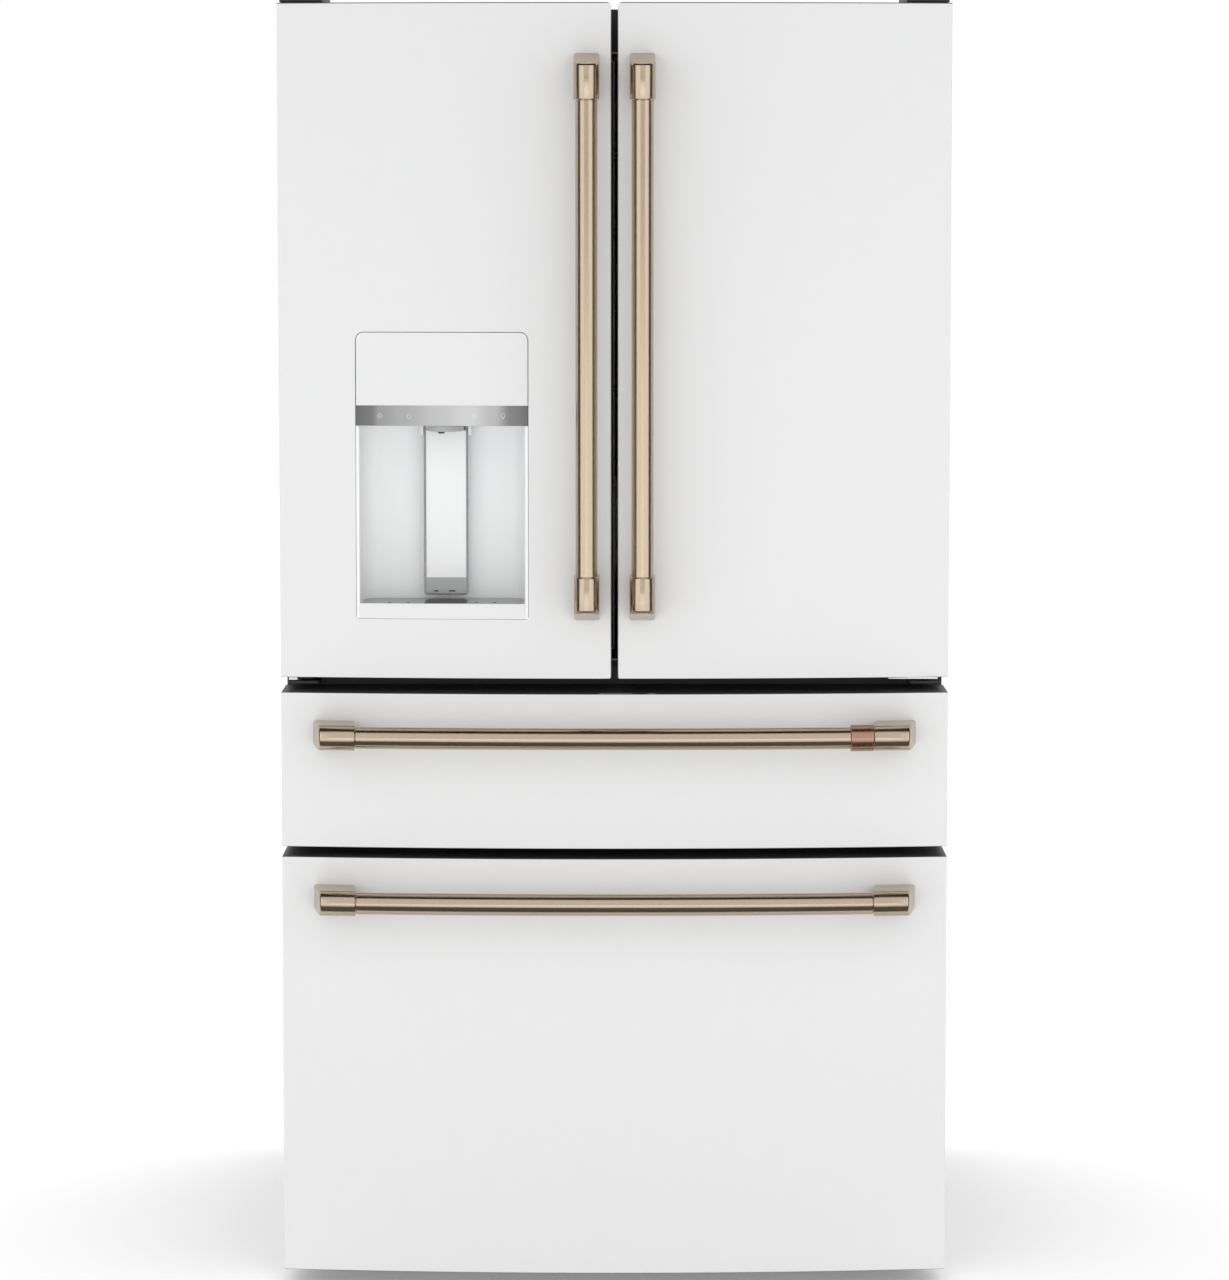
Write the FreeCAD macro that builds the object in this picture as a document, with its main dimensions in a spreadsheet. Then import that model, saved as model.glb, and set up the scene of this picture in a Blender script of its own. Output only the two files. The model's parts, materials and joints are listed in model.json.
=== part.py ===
"""French door refrigerator: two upper doors, a middle drawer and a freezer drawer.

Millimetres. The origin is on the floor under the middle of the bounding box, +Z is up and the
doors face -Y. Every size comes from the spreadsheet "dims", so that one cell moves all that
depends on it.
"""

import FreeCAD
import Part
import Sketcher

import os
import re

OUTPUT_FOLDER = "parts"
LEFT, RIGHT = -1, 1
VECTOR = FreeCAD.Vector

DIMENSIONS = {
    # the whole refrigerator and its case
    "case_width": 905,
    "case_front": -282.5,
    "case_rear": 466.5,
    "case_foot": 38,
    "case_top": 1750,
    "overall_top": 1775,
    "sheet": 1,
    "flange": 22,
    # the bowed fronts, all cut from one upright cylinder
    "front_width": 908,
    "front_face": -403,
    "bow_radius": 4492,
    "front_back": -294.5,
    "skin": 1.2,
    "liner": 2,
    "cap_lip": 2.5,
    "cap_plug": 12,
    "door_top": 1755,
    "door_foot": 844.5,
    "door_gap": 9.5,
    "middle_top": 823.5,
    "middle_foot": 612,
    "freezer_top": 598,
    "freezer_foot": 25,
    # insulated walls and the rooms between them
    "room_half": 404,
    "room_back": 407,
    "fresh_floor": 856,
    "fresh_ceiling": 1692,
    "middle_floor": 626,
    "middle_ceiling": 814,
    "freezer_floor": 108,
    "freezer_ceiling": 587,
    "floor_slab": 33,
    "step_front": 200,
    "step_wall": 40,
    "step_top": 302,
    # door hinges
    "hinge_side": 434,
    "hinge_line": -335,
    "pin_radius": 5,
    "pin_play": 0.05,
    "pin_depth": 20,
    "plate_inner": 32,
    "plate_outer": 14,
    "plate_thick": 3,
    "plate_reach": 70,
    "shoulder_radius": 8,
    "cover_inner": 40,
    "cover_reach": 95,
    "cover_wall": 2,
    # seals
    "seal_width": 16,
    "seal_gap": 0.3,
    "seal_outer": 426,
    "seal_inner": 4,
    # handles
    "grip_radius": 14.7,
    "grip_cap_radius": 17.2,
    "grip_line": -449.3,
    "grip_side": 37.5,
    "grip_foot": 940.5,
    "grip_head": 1671,
    "grip_cap": 46,
    "grip_post_extra": 17,
    "slant_depth": 40,
    "slant_lead": 5,
    "post_margin": 1,
    "bar_end": 350,
    "bar_cap_end": 398,
    "bar_post_end": 410,
    "bar_drop": 55,
    "collar_start": 318,
    "collar_radius": 17.8,
    # water and ice dispenser in the left door
    "niche_left": -350,
    "niche_right": -116,
    "niche_foot": 925,
    "niche_head": 1314,
    "niche_corner": 11,
    "niche_back": -311,
    "niche_wall": 5,
    "band_foot": 1187,
    "band_head": 1215,
    "band_back": -385,
    "tray_top": 946,
    "tray_back": -322,
    "paddle_half": 30,
    "paddle_face": -334,
    "paddle_thick": 6,
    "paddle_foot": 952,
    "paddle_pivot": 1179,
    "paddle_pin": 2.5,
    "outlet_radius": 25.5,
    "throat_radius": 19,
    "nozzle_radius": 5.5,
    "outlet_reach": 31,
    # fold-away bar between the doors
    "mullion_left": -48,
    "mullion_right": 0,
    "mullion_front": -282.2,
    "mullion_rear": -268,
    "mullion_pivot": -46,
    "mullion_foot": 872,
    "mullion_head": 1680,
    "mullion_pin": 3,
    # drawers and their slides
    "bin_half": 391.1,
    "bin_wall": 3,
    "bin_front": -276,
    "bin_back": 185,
    "slide_front": -272,
    "slide_back": 190,
    "slide_member": 3.4,
    "slide_play": 0.3,
    "middle_slide": 760,
    "freezer_slide": 330,
    "basket_foot": 425,
    "basket_top": 560,
    # fresh food fittings
    "shelf_front": -160,
    "shelf_back": 370,
    "shelf_rim": 14,
    "shelf_glass": 4,
    "crisper_front": -130,
    "crisper_back": 330,
    "crisper_foot": 866,
    "crisper_top": 1080,
    "crisper_wall": 3,
    "lid_foot": 1090,
    "lid_front": -145,
    "tower_half": 58,
    "tower_depth": 24,
    "tower_foot": 1112,
    "tower_head": 1682,
    "vent_half": 40,
    "vent_foot": 1190,
    "vent_height": 8,
    "vent_pitch": 120,
    # door fittings
    "dyke_outer": 392,
    "dyke_inner": 62,
    "dyke_width": 20,
    "dyke_rear": -215,
    "door_bin_rear": -190,
    "door_bin_height": 105,
    "ice_maker_rear": -178,
    "ice_maker_foot": 1340,
    "ice_maker_head": 1650,
    # base and machine room
    "rail_inner": 366,
    "rail_outer": 394,
    "rail_sheet": 2,
    "rail_foot": 12,
    "rail_top": 44,
    "roller_radius": 19,
    "roller_half": 10,
    "roller_x": 380,
    "roller_lift": 1.5,
    "axle_radius": 4,
    "front_roller_y": -225,
    "rear_roller_y": 420,
    "leg_x": 347,
    "leg_y": -255,
    "leg_radius": 6,
    "foot_radius": 18,
    "foot_height": 7,
    "pan_top": 47,
    "louvre_half": 40,
    "louvre_height": 8,
    "louvre_side_pitch": 105,
    "louvre_pitch": 22,
    "grille_half": 30,
    "grille_height": 6,
    "grille_foot": 24,
    "grille_side_pitch": 74,
    "grille_pitch": 14,
    "compressor_x": 230,
    "compressor_radius": 78,
    "compressor_base": 14,
    "compressor_head": 170,
    "compressor_foot_half": 100,
    "mount_side": 85,
    "mount_depth": 45,
    "mount_radius": 12,
    "coil_left": -360,
    "coil_depth": 70,
    "coil_pitch": 16,
    "coil_foot": 8,
    "tube_radius": 4,
    "tube_foot": 26,
    "tube_pitch": 32,
    "shroud_front": -92,
    "shroud_sheet": 4,
    "shroud_half": 85,
    "motor_front": -42,
    "motor_radius": 24,
    "fan_y": 350,
    "fan_z": 145,
    "fan_radius": 68,
    "hub_radius": 18,
    "cold_fan_radius": 48,
    "cold_fan_z": 470,
    "cold_cover_front": 346,
    "cold_cover_sheet": 3,
    "cold_motor_front": 381,
    "cold_motor_radius": 20,
    "cold_fin_start": 90,
    "cold_fin_pitch": 26,
    "cold_tube_pitch": 50,
}

doc = FreeCAD.newDocument("refrigerator")
sheet = doc.addObject("Spreadsheet::Sheet", "dims")
for row, (alias, size) in enumerate(DIMENSIONS.items(), start=1):
    sheet.set(f"A{row}", alias)
    sheet.set(f"B{row}", str(size))
    sheet.setAlias(f"B{row}", alias)
doc.recompute()

WORDS = re.compile(r"[a-z_]+")
NODES = {}


# ---------------------------------------------------------------- small helpers


def formula(text):
    """The text with every alias of the sheet written as dims.alias."""
    return WORDS.sub(lambda m: f"dims.{m[0]}" if m[0] in DIMENSIONS else m[0], str(text))


def bind(item, **formulas):
    """Bind properties to formulas; a double underscore stands for the dot of a path."""
    for path, text in formulas.items():
        item.setExpression(path.replace("__", "."), formula(text))


def number(text):
    """What a formula is worth now, for a sketch's first guess."""
    return float(sheet.evalExpression(formula(text)))


def side(which, low, high):
    """A span of x on the right side of the refrigerator, or its mirror image on the left."""
    return (low, high) if which == RIGHT else (f"-({high})", f"-({low})")


def box(name, x, y, z):
    item = doc.addObject("Part::Box", name)
    bind(
        item,
        Length=f"({x[1]}) - ({x[0]})",
        Width=f"({y[1]}) - ({y[0]})",
        Height=f"({z[1]}) - ({z[0]})",
        Placement__Base__x=x[0],
        Placement__Base__y=y[0],
        Placement__Base__z=z[0],
    )
    return item


TURNS = {
    "x": FreeCAD.Rotation(VECTOR(0, 1, 0), 90),
    "y": FreeCAD.Rotation(VECTOR(1, 0, 0), -90),
    "z": FreeCAD.Rotation(),
}


def rod(name, axis, radius, span, place):
    """A cylinder along a row axis: span is its reach there, place the other two coordinates."""
    item = doc.addObject("Part::Cylinder", name)
    item.Placement = FreeCAD.Placement(VECTOR(), TURNS[axis])
    bind(item, Radius=radius, Height=f"({span[1]}) - ({span[0]})")
    across = iter(place)
    for letter in "xyz":
        item.setExpression(
            f"Placement.Base.{letter}",
            formula(span[0] if letter == axis else next(across)),
        )
    return item


def fuse(name, *items):
    item = doc.addObject("Part::MultiFuse", name)
    item.Shapes = list(items)
    return item


def cut(name, base, *tools):
    item = doc.addObject("Part::Cut", name)
    item.Base = base
    item.Tool = tools[0] if len(tools) == 1 else fuse(f"{name}_tools", *tools)
    return item


def group(name, *items):
    """One node of several separate solids."""
    item = doc.addObject("Part::Compound", name)
    item.Links = list(items)
    return item


def node(label, item):
    item.Label = label
    NODES[label] = item
    return item


def tub(name, x, y, z, wall):
    """A box with an open top."""
    outer = box(f"{name}_outer", x, y, z)
    inner = box(
        f"{name}_inner",
        (f"({x[0]}) + {wall}", f"({x[1]}) - {wall}"),
        (f"({y[0]}) + {wall}", f"({y[1]}) - {wall}"),
        (f"({z[0]}) + {wall}", f"({z[1]}) + 1"),
    )
    return cut(name, outer, inner)


def ring(name, x, y, z, width):
    """A picture frame in the XZ plane."""
    outer = box(f"{name}_outer", x, y, z)
    inner = box(
        f"{name}_inner",
        (f"({x[0]}) + {width}", f"({x[1]}) - {width}"),
        (f"({y[0]}) - 1", f"({y[1]}) + 1"),
        (f"({z[0]}) + {width}", f"({z[1]}) - {width}"),
    )
    return cut(name, outer, inner)


# ---------------------------------------------------------------- bowed pieces


def bow_sketch(body, name, x, back, inset, height):
    """A bowed front's outline seen from above, fully constrained."""
    sketch = body.newObject("Sketcher::SketchObject", name)
    plane = next(f for f in body.Origin.OriginFeatures if f.Role == "XY_Plane")
    sketch.AttachmentSupport = [(plane, "")]
    sketch.MapMode = "FlatFace"
    bind(sketch, AttachmentOffset__Base__z=height)

    left, right, rear = number(x[0]), number(x[1]), number(back)
    centre = number("front_face + bow_radius")
    radius = number(f"bow_radius - ({inset})")
    left_front = centre - (radius**2 - left**2) ** 0.5
    right_front = centre - (radius**2 - right**2) ** 0.5
    circle = Part.Circle(VECTOR(0, centre, 0), VECTOR(0, 0, 1), radius)
    start = circle.parameter(VECTOR(left, left_front, 0))
    end = circle.parameter(VECTOR(right, right_front, 0))
    sketch.addGeometry(
        [
            Part.ArcOfCircle(circle, start, end),
            Part.LineSegment(VECTOR(right, right_front, 0), VECTOR(right, rear, 0)),
            Part.LineSegment(VECTOR(right, rear, 0), VECTOR(left, rear, 0)),
            Part.LineSegment(VECTOR(left, rear, 0), VECTOR(left, left_front, 0)),
        ],
        False,
    )
    sketch.addConstraint(
        [
            Sketcher.Constraint("Coincident", 0, 2, 1, 1),
            Sketcher.Constraint("Coincident", 1, 2, 2, 1),
            Sketcher.Constraint("Coincident", 2, 2, 3, 1),
            Sketcher.Constraint("Coincident", 3, 2, 0, 1),
            Sketcher.Constraint("Vertical", 1),
            Sketcher.Constraint("Horizontal", 2),
            Sketcher.Constraint("Vertical", 3),
            Sketcher.Constraint("PointOnObject", 0, 3, -2),
        ]
    )
    sized = {
        "centre": (Sketcher.Constraint("DistanceY", -1, 1, 0, 3, centre), "front_face + bow_radius"),
        "radius": (Sketcher.Constraint("Radius", 0, radius), f"bow_radius - ({inset})"),
        "left": (Sketcher.Constraint("DistanceX", -1, 1, 3, 1, left), x[0]),
        "right": (Sketcher.Constraint("DistanceX", -1, 1, 1, 2, right), x[1]),
        "rear": (Sketcher.Constraint("DistanceY", -1, 1, 2, 1, rear), back),
    }
    for title, (constraint, text) in sized.items():
        index = sketch.addConstraint(constraint)
        sketch.renameConstraint(index, title)
        sketch.setExpression(f"Constraints.{title}", formula(text))
    return sketch


def bowed_slab(name, x, back, inset, z):
    """A solid with the common bowed front, set back by inset, padded from z[0] to z[1]."""
    body = doc.addObject("PartDesign::Body", name)
    pad = body.newObject("PartDesign::Pad", f"{name}_pad")
    pad.Profile = bow_sketch(body, f"{name}_outline", x, back, inset, z[0])
    bind(pad, Length=f"({z[1]}) - ({z[0]})")
    body.Tip = pad
    return body


def bowed_skin(name, x, z):
    """Bent sheet over a bowed front and both its sides, open at the back, top and foot."""
    body = bowed_slab(name, x, "front_back - liner", 0, z)
    pocket = body.newObject("PartDesign::Pocket", f"{name}_hollow")
    inside = (f"({x[0]}) + skin", f"({x[1]}) - skin")
    pocket.Profile = bow_sketch(body, f"{name}_inside", inside, "front_back + 5", "skin", z[0])
    bind(pocket, Length=f"({z[1]}) - ({z[0]})")
    pocket.Reversed = True
    body.Tip = pocket
    return body


def front_caps(prefix, x, foot, top, *holes):
    """Moulded end caps: a lip that shows above and below the skin, and a plug inside it."""
    inside = (f"({x[0]}) + skin", f"({x[1]}) - skin")
    caps = []
    for word, lip, plug in (
        ("top", (f"({top}) - cap_lip", top), (f"({top}) - cap_lip - cap_plug", f"({top}) - cap_lip")),
        ("foot", (foot, f"({foot}) + cap_lip"), (f"({foot}) + cap_lip", f"({foot}) + cap_lip + cap_plug")),
    ):
        lip_body = bowed_slab(f"{prefix}_{word}_lip", x, "front_back", 0, lip)
        plug_body = bowed_slab(f"{prefix}_{word}_plug", inside, "front_back - liner", "skin", plug)
        whole = fuse(f"{prefix}_{word}_cap_whole", lip_body, plug_body)
        caps.append(cut(f"{prefix}_{word}_cap", whole, holes[len(caps)]) if holes else whole)
    return node(f"{prefix}_end_caps", group(f"{prefix}_end_caps", *caps))


def seal(prefix, x, z):
    """Magnetic seal, a frame on the back of a door or drawer front."""
    depth = ("front_back", "case_front - seal_gap")
    node(f"{prefix}_seal", ring(f"{prefix}_seal", x, depth, z, "seal_width"))


def front_face_cutter(name, z):
    """The cylinder that all the fronts lie on, to fit what is fixed to them."""
    return rod(name, "z", "bow_radius", z, ("0", "front_face + bow_radius"))


# ---------------------------------------------------------------- case


def build_case():
    half = "case_width/2"
    width = (f"-{half}", half)
    depth = ("case_front", "case_rear")
    blank = box("wrapper_blank", width, depth, ("case_foot", "case_top"))
    inside = box(
        "wrapper_inside",
        (f"-{half} + sheet", f"{half} - sheet"),
        ("case_front + sheet", "case_rear + 1"),
        ("case_foot - 1", "case_top - sheet"),
    )
    window = box(
        "wrapper_window",
        (f"-{half} + flange", f"{half} - flange"),
        ("case_front - 1", "case_front + sheet + 1"),
        ("case_foot - 1", "case_top - flange"),
    )
    wrapper = cut("bent_wrapper", blank, inside, window)

    behind = ("case_front", "case_front + sheet")
    between = (f"-{half} + flange", f"{half} - flange")
    rails = [
        box("head_rail", between, behind, ("fresh_ceiling", "case_top - flange")),
        box("upper_rail", between, behind, ("middle_ceiling", "fresh_floor")),
        box("lower_rail", between, behind, ("freezer_ceiling", "middle_floor")),
        box("sill_rail", between, behind, ("freezer_floor - floor_slab", "freezer_floor")),
    ]
    for which, word in ((LEFT, "left"), (RIGHT, "right")):
        post = side(which, "room_half", f"{half} - flange")
        for room, low, high in (
            ("fresh", "fresh_floor", "fresh_ceiling"),
            ("middle", "middle_floor", "middle_ceiling"),
            ("freezer", "freezer_floor", "freezer_ceiling"),
        ):
            rails.append(box(f"{room}_{word}_stile", post, behind, (low, high)))
    node("case_wrapper", group("case_wrapper", wrapper, *rails))

    depth = ("case_front + sheet", "case_rear - sheet")
    room = ("-room_half", "room_half")
    slabs = [
        box(
            f"foam_{word}",
            side(which, "room_half", f"{half} - sheet"),
            depth,
            ("case_foot + sheet", "case_top - sheet"),
        )
        for which, word in ((LEFT, "left"), (RIGHT, "right"))
    ]
    back = ("room_back", "case_rear - sheet")
    rooms = ("case_front + sheet", "room_back")
    step = ("step_front", "step_front + step_wall")
    slabs += [
        box("foam_top", room, depth, ("fresh_ceiling", "case_top - sheet")),
        box("foam_back", room, back, ("step_top", "fresh_ceiling")),
        box("foam_upper_divider", room, rooms, ("middle_ceiling", "fresh_floor")),
        box("foam_lower_divider", room, rooms, ("freezer_ceiling", "middle_floor")),
        box(
            "foam_floor",
            room,
            ("case_front + sheet", "step_front"),
            ("freezer_floor - floor_slab", "freezer_floor"),
        ),
        box("foam_step_wall", room, step, ("freezer_floor - floor_slab", "step_top")),
        box(
            "foam_step_top",
            room,
            ("step_front + step_wall", "case_rear - sheet"),
            ("step_top - step_wall", "step_top"),
        ),
    ]
    node("foam_insulation", group("foam_insulation", *slabs))


def lined_room(name, floor, ceiling):
    """A moulded liner, open to the front."""
    blank = box(
        f"{name}_blank",
        ("-room_half", "room_half"),
        ("case_front + sheet", "room_back"),
        (floor, ceiling),
    )
    space = box(
        f"{name}_space",
        ("-room_half + liner", "room_half - liner"),
        ("case_front - 1", "room_back - liner"),
        (f"{floor} + liner", f"{ceiling} - liner"),
    )
    return blank, space


def build_liners():
    fresh = cut("fresh_food_liner", *lined_room("fresh", "fresh_floor", "fresh_ceiling"))
    middle = cut("middle_liner", *lined_room("middle", "middle_floor", "middle_ceiling"))
    blank, space = lined_room("freezer", "freezer_floor", "freezer_ceiling")
    step = ("step_front", "room_back + 1")
    stepped_blank = cut(
        "freezer_stepped_blank",
        blank,
        box("freezer_step", ("-room_half - 1", "room_half + 1"), step, ("0", "step_top")),
    )
    stepped_space = cut(
        "freezer_stepped_space",
        space,
        box(
            "freezer_step_lined",
            ("-room_half - 1", "room_half + 1"),
            ("step_front - liner", "room_back + 1"),
            ("0", "step_top + liner"),
        ),
    )
    freezer = cut("freezer_liner", stepped_blank, stepped_space)
    node("room_liners", group("room_liners", fresh, middle, freezer))


def build_back():
    half = "case_width/2 - sheet"
    behind = ("case_rear - sheet", "case_rear")
    panel = box("rear_sheet", (f"-({half})", half), behind, ("step_top", "case_top - sheet"))
    cover_blank = box("cover_blank", (f"-({half})", half), behind, ("pan_top", "step_top"))
    slots = []
    for column in range(-3, 4):
        middle = f"{column}*louvre_side_pitch"
        for line in range(7):
            foot = f"pan_top + 50 + {line}*louvre_pitch"
            slots.append(
                box(
                    f"louvre_{column + 3}_{line}",
                    (f"{middle} - louvre_half", f"{middle} + louvre_half"),
                    ("case_rear - 3", "case_rear + 2"),
                    (foot, f"{foot} + louvre_height"),
                )
            )
    node("rear_panel", group("rear_panel", panel, cut("machine_room_cover", cover_blank, *slots)))


# ---------------------------------------------------------------- base and machine room


def build_base():
    pieces = []
    for which, word in ((LEFT, "left"), (RIGHT, "right")):
        for label, low, high in (
            ("inner", "rail_inner", "rail_inner + rail_sheet"),
            ("outer", "rail_outer - rail_sheet", "rail_outer"),
        ):
            rail = box(
                f"{word}_{label}_rail_blank",
                side(which, low, high),
                ("case_front + 12", "case_rear - 12"),
                ("rail_foot", "rail_top"),
            )
            holes = [
                rod(
                    f"{word}_{label}_{end}_axle_hole",
                    "x",
                    "axle_radius",
                    side(which, f"{low} - 1", f"{high} + 1"),
                    (f"{end}_roller_y", height),
                )
                for end, height in (("front", "roller_radius + roller_lift"), ("rear", "roller_radius"))
            ]
            pieces.append(cut(f"{word}_{label}_rail", rail, *holes))
        for end, height in (("front", "roller_radius + roller_lift"), ("rear", "roller_radius")):
            pieces.append(
                rod(
                    f"{word}_{end}_axle",
                    "x",
                    "axle_radius",
                    side(which, "rail_inner - 3", "rail_outer + 3"),
                    (f"{end}_roller_y", height),
                )
            )
        bracket = box(
            f"{word}_leg_bracket_blank",
            side(which, "leg_x - 15", "rail_inner"),
            ("leg_y - 14", "leg_y + 14"),
            ("rail_top - 6", "rail_top"),
        )
        hole = rod(
            f"{word}_leg_hole",
            "z",
            "leg_radius",
            ("rail_top - 7", "rail_top + 1"),
            (f"{which}*leg_x", "leg_y"),
        )
        pieces.append(cut(f"{word}_leg_bracket", bracket, hole))
    inner = ("-rail_inner", "rail_inner")
    pieces.append(
        box(
            "front_crossbar",
            ("-leg_x + 15", "leg_x - 15"),
            ("leg_y - 10", "leg_y + 10"),
            ("rail_foot", "rail_top"),
        )
    )
    rear_bar = ("rear_roller_y - 10", "rear_roller_y + 10")
    pieces.append(box("rear_crossbar", inner, rear_bar, ("rail_top - 14", "rail_top")))
    pieces.append(
        box(
            "machine_pan",
            ("-room_half", "room_half"),
            ("step_front + step_wall", "case_rear - sheet"),
            ("rail_top", "pan_top"),
        )
    )

    legs = []
    for which, word in ((LEFT, "left"), (RIGHT, "right")):
        place = (f"{which}*leg_x", "leg_y")
        pad = rod(f"{word}_leg_pad", "z", "foot_radius", ("0", "foot_height"), place)
        stem = rod(f"{word}_leg_stem", "z", "leg_radius", ("foot_height", "rail_top + 24"), place)
        legs.append(fuse(f"{word}_leg", pad, stem))
    node("base_frame", group("base_frame", *pieces, *legs))

    blank = box(
        "grille_blank",
        ("-case_width/2 + 14", "case_width/2 - 14"),
        ("case_front - 2.5", "case_front"),
        ("9", "freezer_floor - floor_slab - 4"),
    )
    slots = [
        box(
            f"grille_slot_{column + 5}_{line}",
            (f"{column}*grille_side_pitch - grille_half", f"{column}*grille_side_pitch + grille_half"),
            ("case_front - 4", "case_front + 1"),
            (f"grille_foot + {line}*grille_pitch", f"grille_foot + grille_height + {line}*grille_pitch"),
        )
        for column in range(-5, 6)
        for line in range(3)
    ]
    node("base_grille", cut("base_grille", blank, *slots))

    for which, word in ((LEFT, "left"), (RIGHT, "right")):
        for end, height in (("front", "roller_radius + roller_lift"), ("rear", "roller_radius")):
            place = (f"{end}_roller_y", height)
            span = side(which, "roller_x - roller_half", "roller_x + roller_half")
            wide = side(which, "roller_x - roller_half - 1", "roller_x + roller_half + 1")
            tyre = rod(f"{end}_{word}_tyre", "x", "roller_radius", span, place)
            bore = rod(f"{end}_{word}_bore", "x", "axle_radius + pin_play", wide, place)
            node(f"roller_{end}_{word}", cut(f"roller_{end}_{word}", tyre, bore))


def blades(name, axis, hub, count, reach, span, place):
    """A fan: a hub and flat blades, each turned about the fan's own axis and tilted."""
    along = "xyz".index(axis)
    parts = [rod(f"{name}_hub", axis, hub, span, place)]
    middle = (number(span[0]) + number(span[1])) / 2
    centre = [number(text) for text in place]
    centre.insert(along, middle)
    for index in range(count):
        blade = doc.addObject("Part::Box", f"{name}_blade_{index}")
        bind(blade, Length=f"{reach} - {hub} + 2", Width="22", Height="1.6")
        tilt = FreeCAD.Rotation(VECTOR(1, 0, 0), 35)
        turn = FreeCAD.Rotation(VECTOR(0, 0, 1), 360 * index / count)
        lay = FreeCAD.Rotation(VECTOR(0, 0, 1), VECTOR(*[1 if i == along else 0 for i in range(3)]))
        rotation = lay.multiply(turn).multiply(tilt)
        start = lay.multiply(turn).multVec(VECTOR(number(hub) - 2, 0, 0))
        half = rotation.multVec(VECTOR(0, 11, 0.8))
        blade.Placement = FreeCAD.Placement(VECTOR(*centre).add(start).sub(half), rotation)
        parts.append(blade)
    return fuse(name, *parts)


def build_machine_room():
    middle = ("compressor_x", "fan_y")
    deep = ("fan_y - 60", "fan_y + 60")
    sole = ("pan_top + compressor_base - 4", "pan_top + compressor_base")
    shell = rod(
        "compressor_shell",
        "z",
        "compressor_radius",
        ("pan_top + compressor_base", "pan_top + compressor_head"),
        middle,
    )
    foot = box(
        "compressor_foot",
        ("compressor_x - compressor_foot_half", "compressor_x + compressor_foot_half"),
        deep,
        sole,
    )
    mounts = [
        rod(
            f"compressor_mount_{across}_{along}",
            "z",
            "mount_radius",
            ("pan_top", "pan_top + compressor_base - 4"),
            (f"compressor_x + {across}*mount_side", f"fan_y + {along}*mount_depth"),
        )
        for across in (LEFT, RIGHT)
        for along in (-1, 1)
    ]
    node("compressor", fuse("compressor", shell, foot, *mounts))

    coil_y = ("fan_y - coil_depth", "fan_y + coil_depth")
    fins = [
        box(
            f"fin_{index}",
            (f"coil_left + {index}*coil_pitch", f"coil_left + {index}*coil_pitch + 1"),
            coil_y,
            ("pan_top + coil_foot", "pan_top + compressor_head"),
        )
        for index in range(16)
    ]
    coil_right = "coil_left + 15*coil_pitch"
    tubes = [
        rod(
            f"condenser_tube_{row}_{line}",
            "x",
            "tube_radius",
            ("coil_left - 12", f"{coil_right} + 12"),
            (f"fan_y + {row}*mount_depth", f"pan_top + tube_foot + {line}*tube_pitch"),
        )
        for row in (-1, 0, 1)
        for line in range(5)
    ]
    feet = box(
        "condenser_feet",
        ("coil_left - 2", f"{coil_right} + 2"),
        coil_y,
        ("pan_top", "pan_top + coil_foot"),
    )
    coil = fuse("condenser_coil", feet, *fins, *tubes)
    shroud_blank = box(
        "shroud_blank",
        ("shroud_front", "shroud_front + shroud_sheet"),
        ("fan_y - shroud_half", "fan_y + shroud_half"),
        ("pan_top", "fan_z + shroud_half"),
    )
    throat = rod(
        "shroud_throat",
        "x",
        "fan_radius + 6",
        ("shroud_front - 2", "shroud_front + shroud_sheet + 2"),
        ("fan_y", "fan_z"),
    )
    shroud = cut("shroud", shroud_blank, throat)
    motor = rod("fan_motor", "x", "motor_radius", ("motor_front", "0"), ("fan_y", "fan_z"))
    stand = box(
        "fan_motor_stand",
        ("motor_front + 12", "-12"),
        ("fan_y - motor_radius/2", "fan_y + motor_radius/2"),
        ("pan_top", "fan_z - motor_radius + 4"),
    )
    node("condenser", group("condenser", coil, shroud, fuse("fan_motor_on_stand", motor, stand)))
    node(
        "condenser_fan",
        blades(
            "condenser_fan",
            "x",
            "hub_radius",
            5,
            "fan_radius",
            ("motor_front - 32", "motor_front - 2"),
            ("fan_y", "fan_z"),
        ),
    )


# ---------------------------------------------------------------- inside the rooms


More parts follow.
